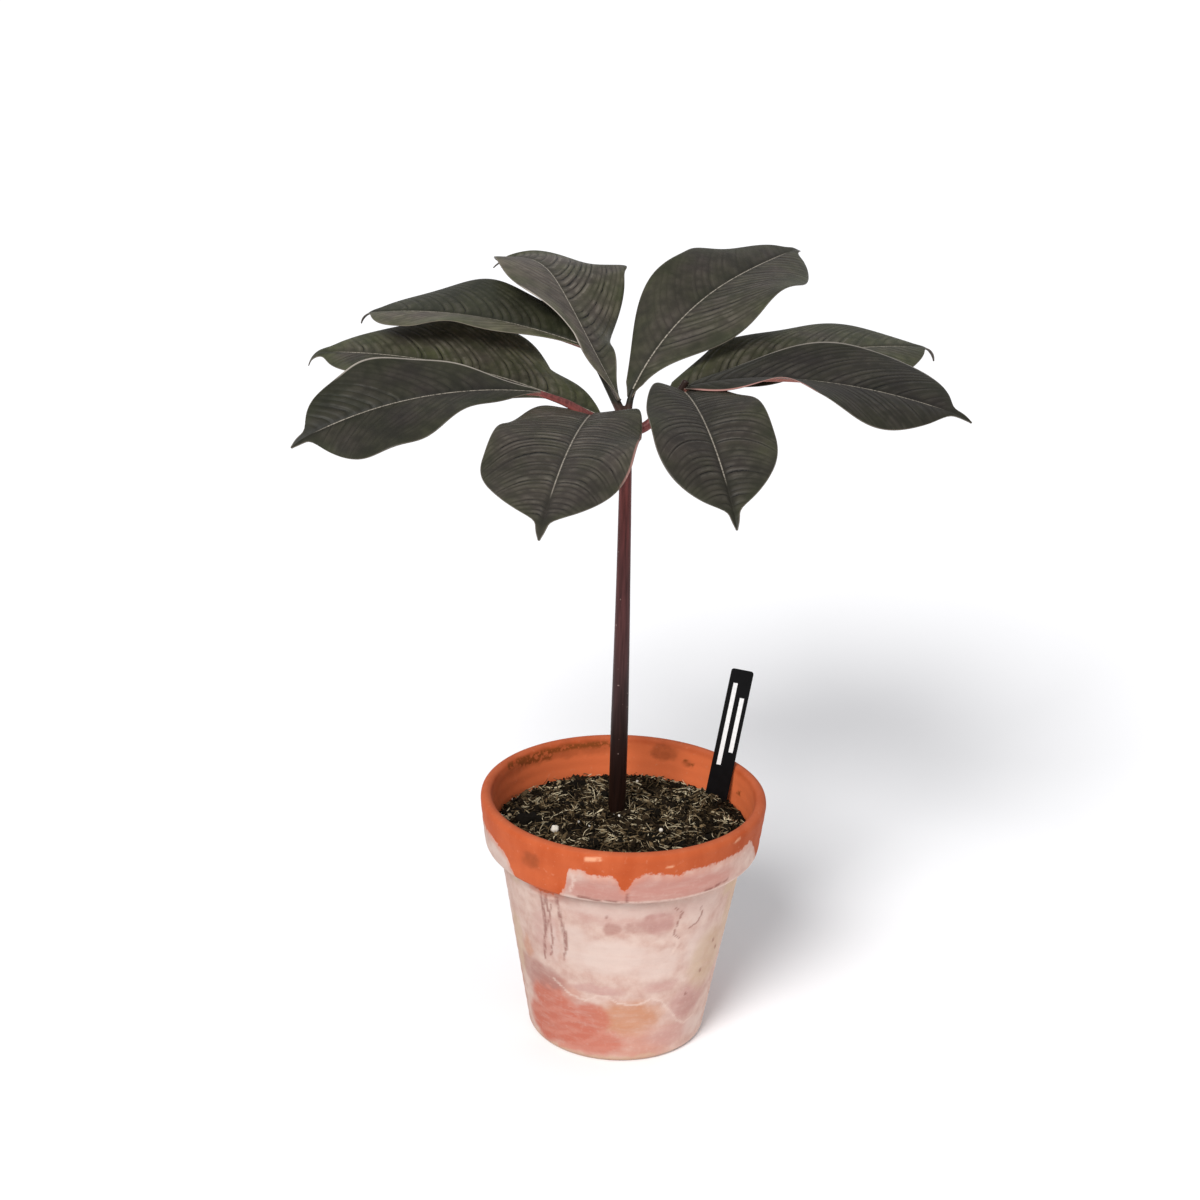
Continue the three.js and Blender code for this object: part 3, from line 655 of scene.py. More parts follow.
def gather(parts):
    """Joins (points, faces, shade) parts into one list of points, faces and a shade for each point."""
    points = []
    faces = []
    shades = []
    start = 0
    for part_points, part_faces, part_shade in parts:
        points.append(part_points)
        faces += [[start + k for k in face] for face in part_faces]
        shades.append(np.full(len(part_points), part_shade))
        start += len(part_points)
    return np.concatenate(points), faces, np.concatenate(shades)


rng = np.random.default_rng(7)
chip, chip_faces = ball(1)
chip_faces = np.array(chip_faces)
spots = spots_on_soil(rng, CRUMB_COUNT, 1.5)
sizes = 0.4 + 1.5 * rng.random(CRUMB_COUNT) ** 2.6
stretch = sizes[:, None] * np.stack([
    least + spread * rng.random(CRUMB_COUNT) for least, spread in ((0.8, 1.0), (0.6, 0.6), (0.35, 0.5))
], axis=-1)
turns = spin(rng, CRUMB_COUNT)
knobs = 0.55 + 0.75 * rng.random((CRUMB_COUNT, len(chip)))
crumbs = np.einsum("nij,nvj->nvi", turns, chip[None] * knobs[..., None] * stretch[:, None, :])
lift = 0.4 + 1.4 * rng.random(CRUMB_COUNT)
crumbs += (spots + lift[:, None] * (0, 0, 1))[:, None, :]
crumb_faces = (chip_faces[None] + len(chip) * np.arange(CRUMB_COUNT)[:, None, None]).reshape(-1, 3).tolist()
dry = np.array([dryness(x, y) for x, y, _ in spots])
crumb_shade = np.repeat(0.05 + 0.6 * dry * rng.random(CRUMB_COUNT) ** 2, len(chip))
crumb_piece = piece_of(
    "bark_crumbs", crumbs.reshape(-1, 3) + POT_AXIS, crumb_faces, crumb_finish, {"shade": crumb_shade})
crumb_piece.data.shade_flat()

clod_shape, clod_faces = ball(4)
clod_parts = []
for x, y, size, shade in [(*clod, 0.03) for clod in CLODS] + [(*clod, 0.26) for clod in DRY_CLODS]:
    lumpy = 0.95 + rough(clod_shape * 1.2 + (x, y, 0), 1.0, 0.45)
    lumpy = lumpy + rough(clod_shape * 4 + (y, x, 0), 1.0, 0.12)
    flat = clod_shape * lumpy[:, None] * size * (1.0, 0.9, 0.6)
    clod_parts.append((flat + (x, y, float(soil_top(np.array(x), np.array(y)))), clod_faces, shade))
clod_points, clod_faces, clod_shade = gather(clod_parts)
clod_piece = piece_of("peat_clods", clod_points + POT_AXIS, clod_faces, crumb_finish, {"shade": clod_shade})


def strands(rng, count, length, thickness, shades, inset, steep):
    """Thin bent strands lying on the mix, or standing out of it where they are steep."""
    parts = []
    for x, y, z in spots_on_soil(rng, count, inset):
        size = length[0] + (length[1] - length[0]) * rng.random() ** 1.6
        heading = 2 * math.pi * rng.random()
        bend = rng.normal(0, 1.2)
        slope = rng.normal(0, 0.25) + steep * (0.5 + 0.5 * rng.random())
        lift = 0.6 + 1.6 * rng.random() + abs(slope) * size * 0.3
        path = []
        px = x - size / 2 * math.cos(heading)
        py = y - size / 2 * math.sin(heading)
        for u in np.linspace(-0.5, 0.5, 6):
            path.append((px, py, 0.0))
            px += size / 5 * math.cos(heading + bend * u) / math.hypot(1, slope)
            py += size / 5 * math.sin(heading + bend * u) / math.hypot(1, slope)
        path = np.array(path)
        reach = np.hypot(path[:, 0], path[:, 1])
        path[:, :2] *= np.minimum(1, (SOIL_EDGE_RADIUS - 1) / np.maximum(reach, 1))[:, None]
        rise = slope / math.hypot(1, slope) * size * np.linspace(-0.5, 0.5, 6)
        path[:, 2] = soil_top(path[:, 0], path[:, 1]) + lift + rise
        path[:, 2] = np.maximum(path[:, 2], soil_top(path[:, 0], path[:, 1]) - 0.3)
        thick = thickness[0] + (thickness[1] - thickness[0]) * rng.random()
        radii = thick * np.array((0.35, 0.9, 1.0, 1.0, 0.8, 0.3))
        points, faces = tube(path, radii, 3)
        shade = (shades[0] + (shades[1] - shades[0]) * rng.random() ** 1.2) * dryness(x, y)
        parts.append((points, faces, shade))
    return gather(parts)


loose_pieces = []
for name, *draw in (
    ("coir_strands", STRAND_COUNT, (2, 8), (0.11, 0.3), (0.2, 1.2), 2, 0.0),
    ("bark_splinters", TWIG_COUNT, (2.5, 9), (0.3, 0.8), (0.15, 0.85), 4, 0.0),
    ("coir_ends", SPRIG_COUNT, (4, 9), (0.12, 0.22), (0.5, 1.1), 6, 1.3),
):
    loose_points, loose_faces, loose_shade = strands(rng, *draw)
    loose_pieces.append(
        piece_of(name, loose_points + POT_AXIS, loose_faces, crumb_finish, {"shade": loose_shade}))

# Expanded perlite: light, matt and chalk white, pitted and a little dusty.
perlite_finish, shader, node = new_finish("dusty_perlite")
place = node("TexCoord", output="Object")
pits = node("TexNoise", (place, 1 / (0.9 * MM), 3.0))
node("MixRGB", (pits, tone("#a69b89"), tone("#f4f0e6")), into="Base Color")
shader.inputs["Roughness"].default_value = 0.9
bead_shape, bead_faces = ball(3)
bead_parts = []
for x, y, size in BEAD_SPOTS:
    lumpy = 1 + rough(bead_shape * 1.3 + (x, y, 0), 1.0, 0.22)
    height = soil_top(np.array(x), np.array(y)) + 0.9 * size + 0.9
    bead_parts.append((bead_shape * lumpy[:, None] * size + (x, y, float(height)), bead_faces, 0.0))
bead_points, bead_faces, _ = gather(bead_parts)
bead_piece = piece_of("perlite_beads", bead_points + POT_AXIS, bead_faces, perlite_finish)
for part in (bed, crumb_piece, clod_piece, *loose_pieces, bead_piece):
    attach(part, "root")
    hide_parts("potting_soil")

# Leaf stalk. One smooth upright stem that grew out of the tuber, maroon above and almost black at the
# soil, forking at the top into arms that carry the leaflets.
FORK = (-4.6, 12, 327)
STALK_PATHS = [
    ([(-3, 12, 92), (-3, 12, 119), (-3.4, 12, 220), FORK], (4.6, 4.6, 3.7, 3.0)),
    ([FORK, (-13, 10, 331.5), (-23, 8.3, 336), (-35, 6.4, 343), (-48, 3.3, 348.5)], (2.8, 2.3, 1.5)),
    ([FORK, (4.5, 14, 329.5), (13, 15.3, 338), (20.5, 16, 346.5), (24.5, 16.3, 353.5)], (2.8, 2.3, 1.8)),
    ([FORK, (-6, 17, 332), (-11, 26, 340), (-18, 37, 350), (-25, 46.5, 359.5)], (2.8, 2.2, 1.4)),
    ([FORK, (-4.2, 18, 333), (-3.2, 24, 340), (-1.5, 27, 345)], (2.6, 2.0, 1.5)),
]
STALK_SIDES = 24
STALK_SKIN = 0.5


def smooth_path(points, steps):
    """A curve through the points, with the given number of steps along it."""
    points = np.asarray(points, float)
    gaps = np.linalg.norm(np.diff(points, axis=0), axis=1)
    knots = np.concatenate([[0], np.cumsum(np.sqrt(gaps))])
    slopes = np.gradient(points, knots, axis=0)
    path = []
    for u in np.linspace(0, knots[-1], steps + 1):
        k = min(int(np.searchsorted(knots, u, side="right")) - 1, len(points) - 2)
        wide = knots[k + 1] - knots[k]
        v = (u - knots[k]) / wide
        path.append(
            (2 * v ** 3 - 3 * v ** 2 + 1) * points[k] + (v ** 3 - 2 * v ** 2 + v) * wide * slopes[k]
            + (3 * v ** 2 - 2 * v ** 3) * points[k + 1] + (v ** 3 - v ** 2) * wide * slopes[k + 1]
        )
    return np.array(path)


stalk_parts = []
for marks, widths in STALK_PATHS:
    path = smooth_path(marks, 60)
    travelled = np.concatenate([[0], np.cumsum(np.linalg.norm(np.diff(path, axis=0), axis=1))])
    radii = np.interp(travelled / travelled[-1], np.linspace(0, 1, len(widths)), widths)
    tube_points, tube_faces = tube(path, radii, STALK_SIDES)
    stalk_parts.append((tube_points, tube_faces, 0.0))
stalk_points, stalk_faces, _ = gather(stalk_parts)

# Stalk skin: a waxy satin film over maroon tissue, with a few pale dots.
stalk_finish, shader, node = new_finish("waxy_maroon_stalk")
place = node("TexCoord", output="Object")
x_place, y_place, z_place = (node("SeparateXYZ", (place,), output=axis) for axis in "XYZ")
facing = node("NewGeometry", output="Normal")
facing_up = node("SeparateXYZ", (facing,), output="Z")
streaks = node("Mapping", {"Vector": place, "Scale": (1, 1, 0.06)})
streak = node("TexNoise", (streaks, 1 / (1.2 * MM), 3))
rise = node("MapRange", (z_place, 118 * MM, 335 * MM))
skin = node("ValToRGB", (rise,), stops=[
    (0, "#1a0d08"), (1, "#6c3b38"), (0.2, "#1f110e"), (0.34, "#3a2525"), (0.62, "#58302f"),
    (0.8, "#6a3431")])
streak_mark = node("MapRange", (streak, 0.3, 0.7, 0.6, 1.4))
skin = node("MixRGB", (1, skin, streak_mark), blend_type="MULTIPLY")
dots = node("TexNoise", (place, 1 / (1.6 * MM), 0))
dots = node("MapRange", (dots, 0.83, 0.86, 0, 0.5))
crown = node("MapRange", (z_place, 325 * MM, 340 * MM))
under = node("MapRange", (facing_up, 0.2, -0.7))
under = node("Math", (under, crown), operation="MULTIPLY")
rear = node("MapRange", (y_place, (FORK[1] + POT_AXIS[1] + 1) * MM, (FORK[1] + POT_AXIS[1] + 5) * MM))
rear = node("Math", (rear, crown), operation="MULTIPLY")
arm_end = node("MapRange", (x_place, (10 + POT_AXIS[0]) * MM, (16 + POT_AXIS[0]) * MM))
for amount, colour in ((dots, "#a98f86"), (under, "#b0605a"), (rear, "#23211a")):
    skin = node("MixRGB", (amount, skin, tone(colour)))
node("MixRGB", (arm_end, skin, tone("#2a1d18")), into="Base Color")
node("Bump", {"Height": streak, "Strength": 0.15, "Distance": 0.2 * MM}, into="Normal")
shader.inputs["Roughness"].default_value = 0.42
shader.inputs["IOR"].default_value = 1.45
shader.inputs["Specular IOR Level"].default_value = 0.2
rough_stalk = piece_of("rough_stalk", stalk_points + POT_AXIS, stalk_faces, stalk_finish)
remesh = rough_stalk.modifiers.new("skin", "REMESH")
remesh.mode = "VOXEL"
remesh.voxel_size = STALK_SKIN * MM
smoothing = rough_stalk.modifiers.new("smoothing", "SMOOTH")
smoothing.factor = 0.5
smoothing.iterations = 6
grown = bpy.data.meshes.new_from_object(rough_stalk.evaluated_get(bpy.context.evaluated_depsgraph_get()))
grown.shade_smooth()
stalk = bpy.data.objects.new("leaf_stalk", grown)
scene.collection.objects.link(stalk)
bpy.data.objects.remove(rough_stalk)
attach(stalk, "root")
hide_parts("petiole")

# Leaflets. Nine thin blades that grew from the arms, each with a sunken midrib, closely set veins that
# arch towards the tip and quilt the blade between them, a waved margin and a drawn-out drip tip. The
# midrib stands out underneath. Heading is in degrees from +X, left and right are seen from the base.
BLADE_THICKNESS = 0.55
RIB_HEIGHT = 1.4
TIP_HALF_WIDTH = 0.45
CALM_TIP = 0.12
BODY_END = 0.92
BODY_ROUNDNESS = 0.62
DRIP_SHARE = 0.108
DRIP_LENGTH = 0.09
DRIP_TAPER = 0.55
DRIP_BLEND = 2.2
DRIP_START = 0.8
LATE_START = 0.55
HOOK_START = 0.92
USUAL_HOOK = 15
WING_REACH = 0.26
VEIN_SPACING = 5.6
QUILT_DEPTH = 0.16
ROWS = 230
COLUMNS = 28
# A half's fill is painted light over a cast shadow across part of it
# Each half's brightness is partly its own tone and partly painted light and shade for how light falls on it
LEAFLETS = [
    dict(
        name="left_end", base=(-47, 3.5, 349), heading=183, swing=17, rise=5.5, fall=-27, sag=1, length=129,
        twist=(7, -24), waves=2.9, peak=0.62, taper=1.3, neck=0.065, green=0.4,
        left=dict(painted_light=0.6, relief=0.4, width=37.5, tilt=7, curl=22, ripple=2, phase=0.35),
        right=dict(
            painted_light=0.54, relief=0.6, width=31, tilt=25, curl=7, ripple=1, phase=0.4,
            bump=(-3.5, 0.74, 0.1), pale_edge=(0.02, 0.75, 0.8)),
    ),
    dict(
        name="left_rear", base=(-17, 12.4, 334.6), heading=149, swing=12.5, rise=14, fall=-9, sag=1,
        length=176,
        twist=(4, -13), waves=1.75, peak=0.42, taper=2.8, neck=0.035, hook=65, green=0.7,
        left=dict(
            painted_light=1.22, relief=0.8, green=0.45, width=34.5, tilt=7, curl=25, ripple=3, phase=0.05,
            wing=2),
        right=dict(
            painted_light=1.33, relief=0.9, painted_fill=(1.6, 0.5, 0.22), width=42, tilt=16, curl=12, ripple=2.5,
            phase=0.3, wing=10.5, pale_edge=(0.55, 0.9, 0.4)),
    ),
    dict(
        name="left_front", base=(-22.5, 8.7, 337), heading=261, swing=-2, rise=7.5, fall=-31, sag=1.2,
        length=130,
        twist=(-5, -4), waves=2.15, peak=0.63, taper=0.28, neck=0.1, green=0.15,
        lean=(0.1, -0.15), arch=(0.3, 1.2), spacing=3.7, rib_end=0.8,
        left=dict(painted_light=1.04, width=36, tilt=21, curl=11, ripple=4, phase=0.05, rose_edge=(0.3, 0.75, 0.6)),
        right=dict(painted_light=1.06, width=37.5, tilt=10, curl=16, ripple=3, phase=0.25),
    ),
    dict(
        name="right_front", base=(23.5, 14.8, 348.2), heading=279.5, swing=5, rise=7.5, fall=-40, sag=1.1,
        length=124, twist=(-5, 7), waves=2, peak=0.62, taper=0.5, neck=0.1, green=0.2,
        lean=(0.1, -0.15), arch=(0.3, 1.2), spacing=3.7, rib_end=0.8,
        left=dict(painted_light=0.76, width=29.5, tilt=24, curl=9, ripple=2.5, phase=0.4),
        right=dict(painted_light=0.77, width=32.5, tilt=22, curl=13, ripple=2.5, phase=0.1),
    ),
    dict(
        name="right_end", base=(23.5, 15, 350), heading=-4, swing=-17, rise=22.5, fall=-14, sag=0.55,
        length=146,
        twist=(-7, 6), waves=1.5, peak=0.62, taper=0.8, neck=0.07, green=0.2,
        left=dict(
            painted_light=0.5, relief=1.1, pale_edge=(0.1, 0.85, 0.6), width=34.5, tilt=21, curl=10, ripple=3.5,
            phase=0.6),
        right=dict(
            painted_light=0.46, relief=1.2, width=35, tilt=9, curl=23, ripple=6.5, phase=0.6, fold=(9, 0.33, 0.5),
            rose_edge=(0.02, 0.5, 0.9)),
    ),
    dict(
        name="right_rear", base=(15, 20.5, 345.5), heading=22, swing=4, rise=14.5, fall=-11, sag=1.3,
        length=159,
        twist=(10, -3), waves=2.15, peak=0.59, taper=0.85, neck=0.08, hook=70, green=0.65,
        left=dict(
            painted_light=1.2, relief=0.9, painted_fill=(0.9, 0.25, 0.18), width=36, tilt=13, curl=18, ripple=1.5,
            phase=0.65, bump=(2.5, 0.27, 0.06)),
        right=dict(
            painted_light=1.11, relief=0.9, width=33, tilt=3, curl=24, ripple=3, phase=0.15, fold=(16, 0.4, 0.8)),
    ),
    dict(
        name="back_right", base=(-3.5, 24.5, 341.5), heading=57.5, swing=-13, rise=54.5, fall=-5, sag=0.58,
        length=172, twist=(-5, 13), waves=1.85, peak=0.45, taper=1.5, neck=0.11, late=23, green=0.35,
        left=dict(
            painted_light=0.83, relief=0.35, rose=0.2, width=31, tilt=17, curl=15, ripple=4, phase=0.35,
            bump=(4.5, 0.64, 0.07)),
        right=dict(painted_light=1.06, relief=1.1, rose=0.2, width=38, tilt=11, curl=18, ripple=5.5, phase=0.25),
    ),
    dict(
        name="back_left", base=(-24.5, 46.5, 360.5), heading=157, swing=-2.5, rise=13, fall=-14, sag=1,
        length=137,
        twist=(-13, 7), waves=2.3, peak=0.56, taper=1.25, neck=0.05, hook=60, green=0.75,
        left=dict(
            painted_light=2.1, relief=0.7, green=0.3, width=24, tilt=4, curl=22, ripple=1, phase=0.95,
            fold=(17, 0.45, 0.7), bump=(4, 0.82, 0.09)),
        right=dict(painted_light=0.72, relief=0.8, green=1.1, width=36.5, tilt=19, curl=12, ripple=1.5, phase=0.95),
    ),
    dict(
        name="back_end", base=(-8.2, 20, 342), heading=121, swing=-18, rise=32, fall=-31, sag=2.4,
        length=157,
        twist=(29, -17), waves=2.4, peak=0.6, taper=2.1, neck=0.075, late=42, green=0.3,
        left=dict(
            painted_light=2.08, relief=0.5, rose=0, green=-0.1, width=29.5, tilt=21, curl=16, ripple=2,
            phase=0.45, wing=5.5, pale_edge=(0.18, 0.5, 0.8)),
        right=dict(
            painted_light=1.45, rose=0, width=36.5, tilt=-3, curl=2, ripple=7, phase=0.88, bump=(6, 0.63, 0.045)),
    ),
]


def width_share(t, leaf):
    """Width of a leaflet along its length, as a share of its greatest."""
    swell = np.sin(np.pi / 2 * np.minimum(t / leaf["peak"], 1)) ** leaf["taper"]
    front = (leaf["neck"] + (1 - leaf["neck"]) * swell) * np.interp(t, (0, 0.04), (0.4, 1))
    past = np.clip((t - leaf["peak"]) / (BODY_END - leaf["peak"]), 0, 1)
    body = (1 - past ** 2) ** BODY_ROUNDNESS
    drip = DRIP_SHARE * np.maximum(0, (1 - t) / DRIP_LENGTH) ** DRIP_TAPER
    drip = drip * np.clip((t - DRIP_START) / 0.1, 0, 1)
    return np.where(t < leaf["peak"], front, (body ** DRIP_BLEND + drip ** DRIP_BLEND) ** (1 / DRIP_BLEND))


def soft_share(t, leaf):
    """The same with the shoulders of the drip tip rounded, as a mean over a little of the length."""
    steps = ((-0.02, 1), (-0.01, 2), (0, 3), (0.01, 2), (0.02, 1))
    near_tip = sum(weight * width_share(np.minimum(t + step, 1), leaf) for step, weight in steps) / 9
    return np.where(t > DRIP_START, near_tip, width_share(t, leaf))


def midrib(leaf, t):
    """The middle line of a leaflet at each share of its length, with the ways that face side and up."""
    fine = np.linspace(0, 1, 1001)
    bend = np.maximum(0, (fine - LATE_START) / (1 - LATE_START)) ** 1.5
    drop = np.maximum(0, (fine - HOOK_START) / (1 - HOOK_START))
    heading = np.radians(leaf["heading"] + leaf["swing"] * fine + leaf.get("late", 0) * bend)
    pitch = leaf["rise"] + (leaf["fall"] - leaf["rise"]) * fine ** leaf["sag"]
    pitch = np.radians(pitch - leaf.get("hook", USUAL_HOOK) * drop)
    level_share = np.cos(pitch)
    ahead = np.stack([level_share * np.cos(heading), level_share * np.sin(heading), np.sin(pitch)], axis=-1)
    steps = (ahead[1:] + ahead[:-1]) / 2 * leaf["length"] / 1000
    places = np.array(leaf["base"]) + np.concatenate([np.zeros((1, 3)), np.cumsum(steps, axis=0)])
    roll = np.radians(leaf["twist"][0] + (leaf["twist"][1] - leaf["twist"][0]) * fine)[:, None]
    level = np.stack([-np.sin(heading), np.cos(heading), 0 * heading], axis=-1)
    upright = np.cross(ahead, level)
    side = level * np.cos(roll) + upright * np.sin(roll)
    up = upright * np.cos(roll) - level * np.sin(roll)
    return [
        np.stack([np.interp(t, fine, line[:, k]) for k in range(3)], axis=-1) for line in (places, side, up)]


def blade(leaf, t, u):
    """Middle surface of a blade over a grid, with its half width there."""
    place, side, up = midrib(leaf, t)
    surface = np.zeros((len(t), len(u), 3))
    widths = np.zeros((len(t), len(u)))
    for j, share in enumerate(u):
        half = leaf["right"] if share < 0 else leaf["left"]
        q = abs(share)
        fold, fold_from, fold_to = half.get("fold", (0, 0, 1))
        open_share = np.clip((t - fold_from) / (fold_to - fold_from), 0, 1)
        tilt = np.radians(half["tilt"] + fold * (1 - open_share ** 2 * (3 - 2 * open_share)))
        curl = math.radians(half["curl"])
        wing = half.get("wing", 0) * np.sin(np.pi * np.minimum(1, t / WING_REACH)) ** 1.2
        swell, swell_at, swell_spread = half.get("bump", (0, 0, 1))
        bump = swell * np.exp(-((t - swell_at) / swell_spread) ** 2)
        width = np.maximum(TIP_HALF_WIDTH, half["width"] * soft_share(t, leaf) + wing + bump)
        outward = width * (np.sin(tilt) - np.sin(tilt - curl * q)) / curl
        lift = width * (np.cos(tilt - curl * q) - np.cos(tilt)) / curl
        ripple = half["ripple"] * q * q * np.sin(2 * np.pi * (leaf["waves"] * t + half["phase"]))
        ripple *= np.sqrt(np.maximum(0, np.sin(np.pi * t))) * np.minimum(1, (1 - t) / CALM_TIP)
        surface[:, j] = place + (np.sign(share) * outward)[:, None] * side + (lift + ripple)[:, None] * up
        widths[:, j] = width
    return surface, widths


def both(grid):
    """A grid's values for the upper face, and mirrored for the lower."""
    return np.concatenate([grid, grid[:, ::-1]], axis=1).reshape(-1)


def blade_piece(leaf, finish):
    """A leaflet with its two faces, quilted between the veins, and a rib underneath."""
    t = np.concatenate([np.linspace(0, 0.9, ROWS - 40, endpoint=False), np.linspace(0.9, 1, 41)])
    half_u = np.linspace(0, 1, COLUMNS + 1) ** 1.2
    u = np.concatenate([-half_u[:0:-1], half_u])
    surface, widths = blade(leaf, t, u)
    ahead = np.gradient(surface, axis=0)
    left = np.gradient(surface, axis=1)
    normal = np.cross(ahead, left)
    normal /= np.linalg.norm(normal, axis=2, keepdims=True)
    q = np.abs(u)[None, :] * np.ones_like(widths)
    along = t[:, None] * np.ones_like(widths)
    out = widths * q
    lean = np.interp(along, (0, 1), leaf.get("lean", (0.55, 0.75)))
    arch = np.interp(along, (0, 1), leaf.get("arch", (0.55, 1.0)))
    reach = along * leaf["length"] - lean * out - arch * out ** 2 / 36
    seed = leaf["length"] * 1.7 + leaf["heading"]
    uneven = 0.35 * np.sin(0.9 * reach + seed) + 0.6 * np.sin(0.37 * reach + 2 * seed)
    stagger = np.where(u[None, :] < 0, 1.4, 0.0) * np.clip(out / 3, 0, 1)
    vein = (reach + uneven + stagger) / leaf.get("spacing", VEIN_SPACING)
    groove = np.exp(-((np.mod(vein + 0.5, 1) - 0.5) / 0.2) ** 2)
    quiet = np.clip(out / 2.5, 0, 1) * np.clip((widths - out) / 7, 0, 1) * np.clip((widths - 3) / 8, 0, 1)
    channel = np.exp(-(out / 1.0) ** 2) * np.clip((1 - along) / 0.15, 0, 1)
    relief = -QUILT_DEPTH * groove * quiet - 0.35 * channel
    thick = BLADE_THICKNESS * (0.55 + 0.45 * np.clip((widths - out) / 2, 0, 1))
    rib = RIB_HEIGHT * np.exp(-(out / (0.6 + 1.2 * (1 - along))) ** 2) * (1 - 0.85 * along)
    upper = surface + normal * (thick / 2 + relief)[..., None]
    lower = surface - normal * (thick / 2 + rib - relief)[..., None]
    rows, columns = widths.shape
    rings = np.concatenate([upper, lower[:, ::-1]], axis=1)
    sides = 2 * columns
    faces = [face[::-1] for face in ring_faces(rows, sides, False)]
    faces.append(list(range(sides)))
    faces.append(list(range((rows - 1) * sides, rows * sides))[::-1])
    # A half's brightness factor is partly its own tone and partly painted light and shade
    side_values = {"painted_light": 1.0, "relief": 1.5, "rose": 1.0, "green": leaf["green"]}
    marks = {key: np.zeros_like(along) for key in (*side_values, "pale_edge", "rose_edge")}
    for half, cover in ((leaf["right"], u < 0), (leaf["left"], u >= 0)):
        for key, usual in side_values.items():
            marks[key][:, cover] = half.get(key, usual)
        # Painted light that fills a cast shadow over part of the half, strongest towards the margin
        painted_fill, glow_at, glow_spread = half.get("painted_fill", (0, 0, 1))
        shine = q ** 2 * np.exp(-((along - glow_at) / glow_spread) ** 2)
        marks["painted_light"][:, cover] *= 1 + painted_fill * shine[:, cover]
        for key in ("pale_edge", "rose_edge"):
            edge_from, edge_to, strength = half.get(key, (0, 0, 0))
            inside = np.clip((t - edge_from) / 0.05, 0, 1) * np.clip((edge_to - t) / 0.05, 0, 1)
            marks[key][:, cover] = strength * inside[:, None]
    fields = {
        "vein": both(vein),
        "from_rib": both(out),
        "from_margin": both(widths - out),
        "along": both(along),
        "rib_left": both(leaf.get("rib_end", 0.9) - along),
        "underside": np.concatenate([0 * along, 0 * along + 1], axis=1).reshape(-1),
    }
    fields.update({key: both(grid) for key, grid in marks.items()})
    return piece_of("blade_" + leaf["name"], rings.reshape(-1, 3) + POT_AXIS, faces, finish, fields)


# Leaf skin: velvety, almost black olive with a brown bloom, so that light spreads over it with no
# hot spots. The veins are sunk, with painted shade darkening them and a painted highlight on the blade
# where it swells between them, and painted shade darkens the crease along the midrib. The midrib and
# the margin are thin and pale, and the underside is a dull rose along its rib. The velvet's pores are
# too fine to see, and are drawn at 0.9 mm.
BLADE_BROWN = "#3d3731"
BLADE_OLIVE = "#383927"
SHADE_BROWN = "#302b26"
SHADE_OLIVE = "#2b2d1e"
# Painted highlight for the swells between veins, painted shade for the sunk veins and the midrib crease
SWELL_PAINTED_HIGHLIGHT = "#58534b"
VEIN_PAINTED_SHADE = "#0e0d0a"
CREASE_PAINTED_SHADE = "#191813"
RIB_PALE = "#a39b8e"
MARGIN_PALE = "#847a6e"
BACK_BROWN = "#453d36"
BACK_ROSE = "#a0655a"
VELVET = "#d9d2c6"
EDGE_PALE = "#b3aa9f"
EDGE_ROSE = "#b08078"
blade_finish, shader, node = new_finish("velvety_dark_leaf")
place = node("TexCoord", output="Object")
mottle = node("TexNoise", (place, 1 / (16 * MM), 3.0))
patches = node("TexNoise", (place, 1 / (6 * MM), 2.0))
pores = node("TexNoise", (place, 1 / (0.9 * MM), 3.0))
marks = {name: node("Attribute", output="Fac", attribute_name=name) for name in (
    "vein", "from_rib", "from_margin", "along", "rib_left", "underside", "green", "painted_light", "relief",
    "rose", "pale_edge", "rose_edge")}
wobble = node("Math", (pores, 0.14, 0.28), operation="MULTIPLY_ADD")
wobble = node("Math", (patches, 0.3, wobble), operation="MULTIPLY_ADD")
shifted = node("Math", (marks["vein"], wobble), operation="ADD")
number = node("Math", (shifted,), operation="FLOOR")
chance = node("TexWhiteNoise", (number,), noise_dimensions="1D")
folded = node("Math", (shifted,), operation="FRACT")
centred = node("Math", (folded, 0.5), operation="SUBTRACT")
apart = node("Math", (centred,), operation="ABSOLUTE")
share = node("MapRange", (chance, 0, 1, 0.1, 1.5))
for span in ((patches, 0.4, 0.6), (marks["from_rib"], 0.3, 2), (marks["from_margin"], 2, 18)):
    faded = node("MapRange", (*span, 0.25))
    share = node("Math", (share, faded), operation="MULTIPLY")
share = node("Math", (share, marks["relief"]), operation="MULTIPLY")
groove = node("MapRange", (apart, 0.14, 0.02), interpolation_type="SMOOTHSTEP")
groove = node("Math", (groove, share), operation="MULTIPLY")
swell = node("MapRange", (apart, 0.16, 0.42), interpolation_type="SMOOTHSTEP")
swell = node("Math", (swell, share), operation="MULTIPLY")
outer = node("MapRange", (marks["from_margin"], 14.0, 1.0, 0, 0.45))
patchy = node("Math", (mottle, 2.0, -1.0), operation="MULTIPLY_ADD")
green = node("Math", (marks["green"], outer), operation="ADD")
green = node("Math", (green, patchy), operation="ADD", use_clamp=True)
olive = node("MixRGB", (green, tone(BLADE_BROWN), tone(BLADE_OLIVE)))
dusk = node("MixRGB", (green, tone(SHADE_BROWN), tone(SHADE_OLIVE)))
ground_mark = node("MapRange", (patches, 0.35, 0.65))
ground = node("MixRGB", (ground_mark, dusk, olive))
# Painted highlight where the blade swells between the veins
swell_highlight = node("Math", (swell, 0.4), operation="MULTIPLY", use_clamp=True)
ground = node("MixRGB", (swell_highlight, ground, tone(SWELL_PAINTED_HIGHLIGHT)))
# Painted shade in the sunk veins
groove_shade = node("Math", (groove, 0.95), operation="MULTIPLY", use_clamp=True)
ground = node("MixRGB", (groove_shade, ground, tone(VEIN_PAINTED_SHADE)))
